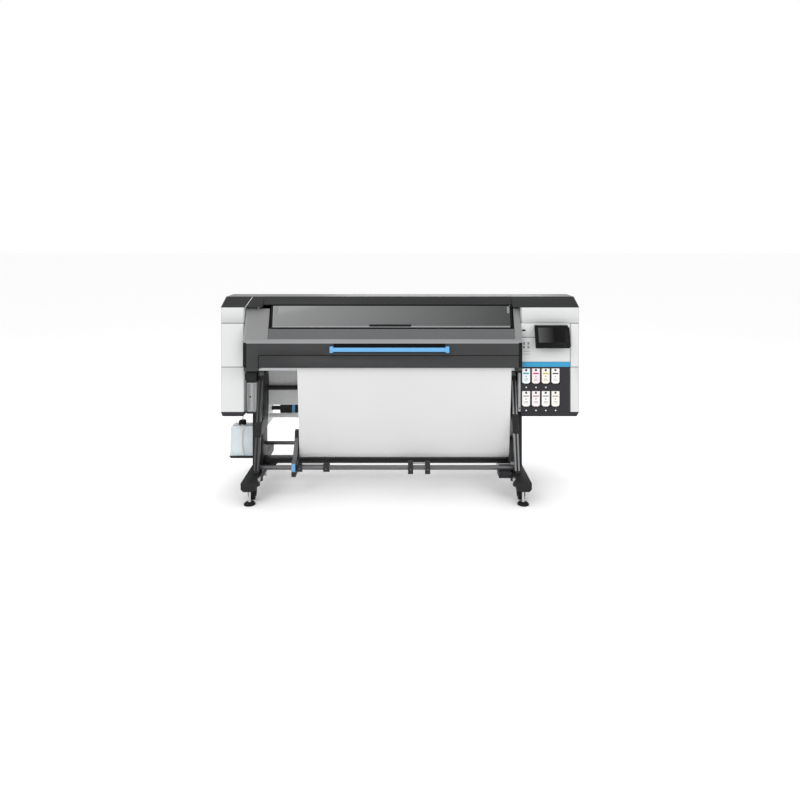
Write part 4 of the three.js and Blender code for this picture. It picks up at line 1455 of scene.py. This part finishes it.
@dataclass
class Stand:
    """The open stand: foot beams, columns, struts, cross beam, levelling feet and castors."""

    palette: Palette
    strut_width: float = 0.035
    strut_foot: Flat = (-0.254, 0.16)
    strut_head: Flat = (-0.100, 0.79)
    strut_middles: Flat = (-1.016, 0.829)
    beam_middles: Flat = (-1.0325, 0.8455)
    beam_half: float = 0.0525
    rear_step: float = 0.0225
    joint_levels: tuple[Flat, Flat] = ((0.405, 0.505), (0.43, 0.56))
    groove_levels: Flat = (0.186, 0.79)
    bracket_level: float = 0.826
    groove_width: float = 0.011
    groove_depth: float = 0.006
    groove_reach: float = 0.0054
    column_face: float = -0.0745
    clamp_reach: float = 0.024
    bolt_radii: Flat = (0.0085, 0.006)
    knob_radii: Flat = (0.014, 0.010)
    hub_radii: Flat = (0.018, 0.016)
    knobs: tuple[Flat, Flat] = ((-0.378, 0.134), (-0.285, 0.134))
    clips: tuple[tuple[float, ...], ...] = ((-0.372, -0.335, 0.146, 0.172), (-0.150, -0.122, 0.104, 0.136))
    pad_top: float = 0.0225
    axle: Flat = (0.307, 0.033)
    wheel_half: float = 0.022

    def build(self) -> None:
        """Builds the stand."""
        for index, side in enumerate(("left", "right")):
            finish_node(f"foot_beam_{side}", self.palette.black, 0.004)
            finish_node(f"column_{side}", self.palette.black, 0.002)
            self.strut(side, self.strut_middles[index])
            self.strut_joint(side, self.strut_middles[index], self.joint_levels[index])
            self.beam_fittings(side, self.beam_middles[index], 1 - 2 * index)
            for end, sign in (("front", -1), ("rear", 1)):
                self.levelling_foot(f"{end}_{side}")
                outward = self.rear_step * (2 * index - 1) if sign > 0 else 0
                self.castor(f"{end}_{side}", self.beam_middles[index] + outward, sign)
        finish_node("cross_beam", self.palette.black, 0.003)

    def strut_place(self, level: float) -> float:
        """Where a strut's middle line is on Y at a height."""
        share = (level - self.strut_foot[1]) / (self.strut_head[1] - self.strut_foot[1])
        return self.strut_foot[0] + share * (self.strut_head[0] - self.strut_foot[0])

    def strut(self, side: str, middle: float) -> None:
        """One drawn strut with its long groove, whose bottom is painted dark as painted shade, its dark foot
        and its bracket; the left strut takes a darker copy of the aluminium as painted shade.

        Args:
            side: left or right.
            middle: Its middle on X.
        """
        node = f"strut_{side}"
        piece = refined(node, 0.003, 3)
        low, high = self.groove_levels
        for level in (low, high, self.bracket_level):
            score(piece, (0, 0, level), (0, 0, 1))

        def slotted(m: Vector, n: Vector) -> bool:
            """Whether a face is on the front of the drawn part."""
            return n.y < -0.5 and low < m.z < high

        def groove_bottom_shade(m: Vector, n: Vector) -> bool:
            """Whether a face is the bottom of the groove, painted dark as painted shade."""
            near = abs(m.x - middle) < self.groove_reach
            return near and n.y < -0.5 and low + 0.001 < m.z < high - 0.0005

        groove(piece, [(Axis.X, middle)], self.groove_width, self.groove_depth, slotted)
        stand_in(
            piece,
            node,
            # The left strut takes the darker aluminium copy: painted shade.
            self.palette.alu_painted_shade if side == "left" else self.palette.alu_z,
            (self.palette.black, lambda m, n: m.z < low or m.z > high - 0.0005),
            (self.palette.arm_grey, lambda m, n: m.z > self.bracket_level),
            (self.palette.dark, groove_bottom_shade),
        )

    def strut_joint(self, side: str, middle: float, levels: Flat) -> None:
        """The dark clamp that ties a strut to its column, with two bolts.

        Args:
            side: left or right.
            middle: The strut's middle on X.
            levels: The clamp's bottom and top.
        """
        low, high = levels
        half = self.strut_width / 2 + 0.004
        fronts = [self.strut_place(level) - self.clamp_reach for level in levels]
        rear = self.column_face
        outline = [(fronts[0], low), (rear, low), (rear, high), (fronts[1], high)]
        piece = prism(f"strut_joint_{side}", outline, Axis.X, middle - half, middle + half, 0.004)
        settle(piece, Body.FRAME, self.palette.black)
        for index, level in enumerate((low + 0.025, high - 0.025), start=1):
            front = self.strut_place(level) - self.clamp_reach - 0.0005
            steps = headed(front - 0.006, front + 0.006, *self.bolt_radii, 0.002)
            bolt = turned(f"strut_bolt_{side}_{index}", steps, Axis.Y, (middle, 0, level), 18)
            settle(bolt, Body.FRAME, self.palette.dark)

    def beam_fittings(self, side: str, middle: float, inward: int) -> None:
        """The knobs and plated clips on the inner side of a foot beam.

        Args:
            side: left or right.
            middle: The beam's middle on X.
            inward: 1 where the machine's middle is on the right, -1 on the left.
        """
        face = middle + inward * self.beam_half
        back, waist, front = face - inward * 0.004, face + inward * 0.006, face + inward * 0.016
        wide, slim = self.knob_radii
        steps = [(back, 0), (back, wide), (waist, wide), (front, slim), (front, 0)][::inward]
        for index, (y, z) in enumerate(self.knobs, start=1):
            knob = turned(f"beam_knob_{side}_{index}", steps, Axis.X, (0, y, z), 20)
            settle(knob, Body.FRAME, self.palette.dark)
        first, last = sorted((face - inward * 0.002, face + inward * 0.012))
        for index, (start, end, low, high) in enumerate(self.clips, start=1):
            outline = [(start, low + 0.008), (start + 0.008, low), (end, low), (end, high), (start, high)]
            clip = prism(f"beam_clip_{side}_{index}", outline, Axis.X, first, last, 0.0015)
            settle(clip, Body.FRAME, self.palette.steel)

    def levelling_foot(self, label: str) -> None:
        """One levelling foot: plated stem, dark pad."""
        node = f"levelling_foot_{label}"
        stem = (self.palette.steel, lambda middle, normal: middle.z > self.pad_top)
        stand_in(refined(node, 0.001), node, self.palette.rubber, stem)

    def castor(self, label: str, middle: float, sign: int) -> None:
        """One castor: fork, tyre and the two hub discs.

        Args:
            label: Which castor.
            middle: Its middle on X.
            sign: -1 at the front, 1 at the rear.
        """
        finish_node(f"castor_fork_{label}", self.palette.dark, 0.0015)
        finish_node(f"castor_wheel_{label}", self.palette.rubber, 0.0015)
        body = body_name(f"castor_wheel_{label}")
        y, z = sign * self.axle[0], self.axle[1]
        wide, slim = self.hub_radii
        for name, side in (("outer", -1), ("inner", 1)):
            face = middle + side * self.wheel_half
            inside, outside = face - side * 0.001, face + side * 0.001
            steps = [(inside, 0), (inside, wide), (outside, slim), (outside, 0)][::side]
            hub = turned(f"castor_hub_{label}_{name}", steps, Axis.X, (0, y, z), 20)
            settle(hub, body, self.palette.arm_grey)


# ------------------------------------------------------------------ media path


@dataclass
class TakeUp:
    """The take-up: front rail, sliding arm, motor unit and the wound roll."""

    palette: Palette
    rail: Flat = (-0.210, 0.190)
    rings: tuple[Flat, ...] = ((-0.730, -0.697), (-0.546, -0.503), (0.057, 0.093), (0.179, 0.214))
    roll: Flat = (-0.060, 0.290)
    roll_ends: Flat = (-0.7309, 0.7929)
    core_radius: float = 0.031
    arm_tip: float = 0.371
    arm_foot: float = 0.170
    rod_radius: float = 0.0065
    saddle_level: float = 0.1735
    bolt_reach: Flat = (0.030, 0.045)
    bolt_radii: Flat = (0.0055, 0.004)
    first_slot: float = 0.715
    slot_pitch: float = 0.012

    def build(self) -> None:
        """Builds the take-up."""
        self.front_rail()
        self.arm()
        self.motor()
        finish_node("deflector_bar", self.palette.dark_tube, 0.001)
        self.wound_roll()

    def front_rail(self) -> None:
        """The rail with its dark collars, and the two short rods beside it."""
        piece = refined("takeup_rail", 0.001)

        def collar(middle: Vector, normal: Vector) -> bool:
            """Whether a face is on a collar."""
            return any(start - 0.001 < middle.x < end + 0.001 for start, end in self.rings)

        stand_in(
            piece,
            "takeup_rail",
            self.palette.dark_tube,
            (self.palette.dark, collar),
            (self.palette.black, lambda m, n: m.z < self.saddle_level and abs(n.x) + abs(n.y) > 0.5),
        )
        y, z = self.rail
        rods = (("rail_rod_left", -0.700, -0.543, 0.0235), ("rail_rod_right", 0.090, 0.182, 0.030))
        for name, start, end, up in rods:
            rod = turned(name, headed(start, end, self.rod_radius), Axis.X, (0, y + 0.002, z + up), 16)
            settle(rod, Body.FRAME, self.palette.alu_x)
        for index, (start, end) in enumerate(self.rings, start=1):
            face = y - self.bolt_reach[start > 0]
            steps = headed(face - 0.003, face + 0.006, *self.bolt_radii, 0.002)
            bolt = turned(f"collar_bolt_{index}", steps, Axis.Y, ((start + end) / 2, 0, z), 14)
            settle(bolt, Body.FRAME, self.palette.arm_grey)

    def arm(self) -> None:
        """The sliding arm with its dark tip and foot, its right-facing side painted dark as painted shade,
        and its blue lever.
        """
        piece = refined("takeup_arm", 0.0025)
        for level in (self.arm_foot, self.arm_tip):
            score(piece, (0, 0, level), (0, 0, 1))
        # Painted shade: the arm's right-facing side is painted dark together with its ends.
        ends = (self.palette.dark, lambda m, n: not self.arm_foot <= m.z <= self.arm_tip or n.x > FACING)
        stand_in(piece, "takeup_arm", self.palette.arm_grey, ends)
        finish_node("arm_lever", self.palette.blue, 0.0035)

    def motor(self) -> None:
        """The motor unit with its cooling slots and the pale clamp beside the roll."""
        piece = refined("takeup_motor", 0.003)
        lines = [(Axis.X, self.first_slot + self.slot_pitch * index) for index in range(6)]
        groove(piece, lines, 0.003, 0.003, lambda m, n: n.y < -FACING and m.y < -0.255)
        stand_in(piece, "takeup_motor", self.palette.charcoal)
        clamp = block("motor_clamp", (0.7965, -0.1785, 0.172), (0.8255, -0.165, 0.216), 0.003)
        settle(clamp, Body.FRAME, self.palette.grey)
        rod = turned("motor_rod", headed(0.690, 0.797, 0.0045), Axis.X, (0, -0.1765, 0.203), 14)
        settle(rod, Body.FRAME, self.palette.alu_x)

    def wound_roll(self) -> None:
        """The take-up roll, with its turns showing on its ends and a dark core."""
        piece = refined("takeup_roll", 0.0008)
        y, z = self.roll
        start, end = self.roll_ends
        rings = self.palette.roll("takeup_roll_finish", y, z)

        def core(middle: Vector, normal: Vector) -> bool:
            """Whether a face is on the core."""
            near = math.hypot(middle.y - y, middle.z - z) < self.core_radius
            return near and not start < middle.x < end

        stand_in(piece, "takeup_roll", rings, (self.palette.board, core))


@dataclass
class RearCradle:
    """The rear cradle with the supply roll on its spindle."""

    palette: Palette
    spindle: Flat = (0.280, 0.485)
    hub_ring: Flat = (-0.846, -0.822)
    ring_radii: Flat = (0.040, 0.0485)
    plates: Flat = (-1.0105, 0.8225)
    tie_bar: Flat = (0.128, 0.680)
    tie_radius: float = 0.0175

    def build(self) -> None:
        """Builds the cradle, the spindle and the roll."""
        piece = refined("roll_cradle", 0.001)
        start, end = self.plates

        def on_tie_bar(m: Vector, n: Vector) -> bool:
            """Whether a face is on the bar between the side plates."""
            near = math.hypot(m.y - self.tie_bar[0], m.z - self.tie_bar[1]) < self.tie_radius
            return near and start < m.x < end

        side_plates = (self.palette.black, lambda m, n: m.x < start or m.x > end)
        stand_in(piece, "roll_cradle", self.palette.sheet, side_plates, (self.palette.dark, on_tie_bar))
        y, z = self.spindle
        finish_node("supply_spindle", self.palette.dark, 0.0015)
        (first, last), (bore, rim) = self.hub_ring, self.ring_radii
        steps = [(first, bore), (first, rim), (last, rim), (last, bore), (first, bore)]
        ring = turned("hub_ring", steps, Axis.X, (0, y, z), 32)
        settle(ring, Body.SUPPLY, self.palette.blue)
        stand_in(refined("supply_roll", 0.0008), "supply_roll", self.palette.roll("supply_roll_finish", y, z))


@dataclass
class PrintEngine:
    """What lies under the hood: table, platen, roller, rail, carriage and cutter."""

    palette: Palette
    first_vacuum_slot: float = -0.95
    vacuum_pitch: float = 0.19
    platen_top: float = 0.984
    rail_groove: float = 1.182
    carriage_front: float = -0.140
    carriage_seams: Flat = (1.055, 0.67)
    blade: Point = (-1.062, -0.2225, 1.005)
    blade_half: float = 0.0006

    def build(self) -> None:
        """Builds the engine."""
        finish_node("chassis_beam", self.palette.dark_sheet, 0.001)
        platen = refined("platen", 0.001)
        lines = [(Axis.X, self.first_vacuum_slot + self.vacuum_pitch * index) for index in range(10)]
        groove(platen, lines, 0.004, 0.0015, lambda m, n: n.z > 0.98 and m.z > self.platen_top)
        stand_in(platen, "platen", self.palette.alu_x)
        finish_node("drive_roller", self.palette.rubber, 0.001)
        rail = refined("carriage_rail", 0.002)
        groove(rail, [(Axis.Z, self.rail_groove)], 0.012, 0.005, lambda m, n: n.y < -FACING)
        stand_in(rail, "carriage_rail", self.palette.alu_x)
        self.carriage()
        self.cutter()

    def carriage(self) -> None:
        """The print carriage with its front seams and its plate."""
        piece = refined("print_carriage", 0.005, 3)
        level, side = self.carriage_seams
        seams = [(Axis.Z, level), (Axis.X, side)]
        groove(piece, seams, 0.003, 0.002, lambda m, n: n.y < -FACING and m.y < self.carriage_front + 0.001)
        stand_in(piece, "print_carriage", self.palette.charcoal)
        front, rear = self.carriage_front - 0.002, self.carriage_front + 0.002
        plate = block("carriage_plate", (0.58, front, 1.09), (0.65, rear, 1.15), 0.003)
        settle(plate, Body.CARRIAGE, self.palette.grey)

    def cutter(self) -> None:
        """The cross cutter with its round blade."""
        finish_node("cross_cutter", self.palette.dark, 0.002)
        x, y, z = self.blade
        near, far = x - self.blade_half, x + self.blade_half
        steps = [(near, 0), (near, 0.011), (x, 0.013), (far, 0.011), (far, 0)]
        blade = turned("cutter_blade", steps, Axis.X, (0, y + 0.004, z - 0.002), 28)
        settle(blade, Body.CUTTER, self.palette.steel)


@dataclass
class Media:
    """The sheet of media from the supply roll over the platen to the take-up roll."""

    palette: Palette
    width: float = 1.524

    def build(self) -> None:
        piece = refined("media_web", 0)
        stand_in(piece, "media_web", self.palette.web)


# ------------------------------------------------------------------ waste bottle


@dataclass
class WasteBottle:
    """The waste bottle on its shelf, with its lobed cap and its drain hose."""

    palette: Palette
    neck: Flat = (-1.185, 0.045)
    cap_levels: Flat = (0.4255, 0.4555)
    cap_foot: float = 0.4302
    grip_half: tuple[Flat, ...] = ((0.024, 0.415), (0.0085, 0.375), (0.0085, 0.255), (0.024, 0.208))
    grip_proud: float = 0.004
    lobe_radius: float = 0.012
    lobe_reach: float = 0.018
    hose_diameter: float = 0.008
    hose_y: float = 0.045
    route: tuple[Flat, ...] = (
        (-1.185, 0.4556),
        (-1.185, 0.470),
        (-1.179, 0.4925),
        (-1.1625, 0.509),
        (-1.138, 0.515),
        (-1.113, 0.521),
        (-1.097, 0.537),
        (-1.091, 0.559),
        (-1.091, 0.640),
        (-1.091, 0.750),
        (-1.091, 0.860),
    )

    def build(self) -> None:
        """Builds the shelf, the bottle, its cap and the hose."""
        finish_node("bottle_shelf", self.palette.black, 0.002)
        self.bottle()
        self.cap()
        self.hose()

    def bottle(self) -> None:
        """The blow-moulded bottle with its grip, narrow in the middle, on the front and rear."""
        cap = (self.palette.rubber, lambda middle, normal: middle.z > self.cap_foot)
        stand_in(refined("waste_bottle", 0.005, 3), "waste_bottle", self.palette.bottle, cap)
        middle, proud = self.neck[0] + 0.003, self.grip_proud
        outline = [(middle + reach, level) for reach, level in self.grip_half]
        outline += [(middle - reach, level) for reach, level in self.grip_half[::-1]]
        low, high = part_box("waste_bottle")
        for name, face in (("front", low[1]), ("rear", high[1])):
            grip = prism(f"bottle_grip_{name}", outline, Axis.Y, face - proud, face + proud, 0.003, 3)
            settle(grip, Body.FRAME, self.palette.spool)

    def cap(self) -> None:
        """The three lobes round the bottle's cap."""
        low, high = self.cap_levels
        x, y = self.neck
        wide, top = self.lobe_radius, high - 0.0005
        steps = [(low, 0), (low, wide), (high - 0.003, wide), (top, 0.009), (top, 0)]
        for index in range(3):
            angle = math.radians(90 + 120 * index)
            place = (x + self.lobe_reach * math.cos(angle), y + self.lobe_reach * math.sin(angle), 0)
            lobe = turned(f"cap_lobe_{index + 1}", steps, Axis.Z, place, 20)
            settle(lobe, Body.FRAME, self.palette.rubber)

    def line(self) -> list[Point]:
        """The hose's smooth line through the points of its route.

        Returns:
            Closely spaced points.
        """
        points = [Vector((x, self.hose_y, z)) for x, z in self.route]
        ends = [2 * points[0] - points[1], *points, 2 * points[-1] - points[-2]]
        line = []
        for a, b, c, d in zip(ends, ends[1:], ends[2:], ends[3:]):
            for step in range(4):
                line.append(self.between(a, b, c, d, step / 4))
        return [*line, points[-1]]

    @staticmethod
    def between(a: Vector, b: Vector, c: Vector, d: Vector, share: float) -> Vector:
        """A point of the centripetal curve from b to c.

        Args:
            a: The point before b.
            b: Where the stretch starts.
            c: Where it ends.
            d: The point after c.
            share: How far along the stretch the point is.

        Returns:
            The point.
        """
        knots = [0.0]
        for first, second in ((a, b), (b, c), (c, d)):
            knots.append(knots[-1] + math.sqrt((second - first).length))
        at = knots[1] + share * (knots[2] - knots[1])

        def mix(first: Vector, second: Vector, start: float, end: float) -> Vector:
            """A point between two points, by knot values."""
            return first + (second - first) * ((at - start) / (end - start))

        pairs = enumerate(((a, b), (b, c), (c, d)))
        ab, bc, cd = (mix(p, q, knots[i], knots[i + 1]) for i, (p, q) in pairs)
        return mix(mix(ab, bc, knots[0], knots[2]), mix(bc, cd, knots[1], knots[3]), knots[1], knots[2])

    def hose(self) -> None:
        """The thin drain hose, one open curve from the cap into the chassis."""
        line = self.line()
        curve = bpy.data.curves.new("drain_hose_tube", "CURVE")
        curve.dimensions = "3D"
        curve.bevel_depth = self.hose_diameter / 2
        curve.bevel_resolution = 4
        curve.use_fill_caps = True
        spline = curve.splines.new("POLY")
        spline.points.add(len(line) - 1)
        for point, place in zip(spline.points, line):
            point.co = (*place, 1)
        piece = bpy.data.objects.new("drain_hose_tube", curve)
        bpy.context.scene.collection.objects.link(piece)
        curve.materials.append(self.palette.hose)
        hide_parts("drain_hose")
        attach(piece, Body.FRAME)


# ------------------------------------------------------------------ studio


@dataclass
class Studio:
    """Pale floor, soft light and the camera."""

    camera_place: Point = (0.0, -4.78, 1.85)
    lens: float = 28.8
    shift: float = -0.20625
    surround: float = 1.0
    floor_size: float = 120
    sight: float = 200

    def build(self) -> None:
        """Builds the studio."""
        self.camera()
        self.floor()
        self.lights()
        self.world()

    def camera(self) -> None:
        """A level camera in front of the machine."""
        data = bpy.data.cameras.new("studio_camera")
        data.lens = self.lens
        data.sensor_width = 36
        data.shift_y = self.shift
        data.clip_end = self.sight
        camera = bpy.data.objects.new("studio_camera", data)
        camera.location = self.camera_place
        camera.rotation_euler = (math.radians(90), 0, 0)
        bpy.context.scene.collection.objects.link(camera)
        bpy.context.scene.camera = camera

    def floor(self) -> None:
        """A wide matt floor."""
        clear_selection()
        bpy.ops.mesh.primitive_plane_add(size=self.floor_size, location=(0, 0, 0))
        floor = bpy.context.object
        floor.name = "studio_floor"
        matt = Moulding("studio_floor_finish", (0.97, 0.97, 0.97), 0.9, 40, 0.02, 0.004)
        floor.data.materials.append(matt.build())

    def lights(self) -> None:
        """A large key from the front left, a fill from the right, one light above and one behind."""
        for name, place, aim, size, power in (
            ("key_light", (-3.0, -4.2, 4.4), (0, 0, 0.9), 3.0, 75),
            ("fill_light", (3.8, -3.6, 2.6), (0.2, 0, 0.8), 3.2, 34),
            ("top_light", (0, 0.6, 5.0), (0, 0, 0), 4.0, 50),
            ("rear_light", (0.5, 4.6, 3.4), (0, 0, 0.8), 3.4, 60),
        ):
            data = bpy.data.lights.new(name, "AREA")
            data.size = size
            data.energy = power
            light = bpy.data.objects.new(name, data)
            light.location = place
            light.rotation_euler = (Vector(aim) - Vector(place)).to_track_quat("-Z", "Y").to_euler()
            bpy.context.scene.collection.objects.link(light)

    def world(self) -> None:
        """An even white surround, shown without a film curve."""
        world = bpy.data.worlds.new("studio_world")
        world.use_nodes = True
        background = world.node_tree.nodes["Background"]
        background.inputs["Color"].default_value = (1, 1, 1, 1)
        background.inputs["Strength"].default_value = self.surround
        bpy.context.scene.world = world
        bpy.context.scene.view_settings.view_transform = "Standard"


def main() -> None:
    """Builds the machine, one sub-assembly after another, and the studio round it."""
    logging.basicConfig(level=logging.INFO, format="%(name)s: %(message)s")
    palette = Palette()
    Studio().build()
    WasteBottle(palette).build()
    for assembly in (
        Media(palette),
        EndModules(palette),
        InkBay(palette),
        TopAndHood(palette),
        TouchPanel(palette),
        Stand(palette),
        TakeUp(palette),
        RearCradle(palette),
        PrintEngine(palette),
    ):
        LOG.info("building %s", type(assembly).__name__)
        assembly.build()
    clear_selection()


if __name__ == "__main__":
    main()
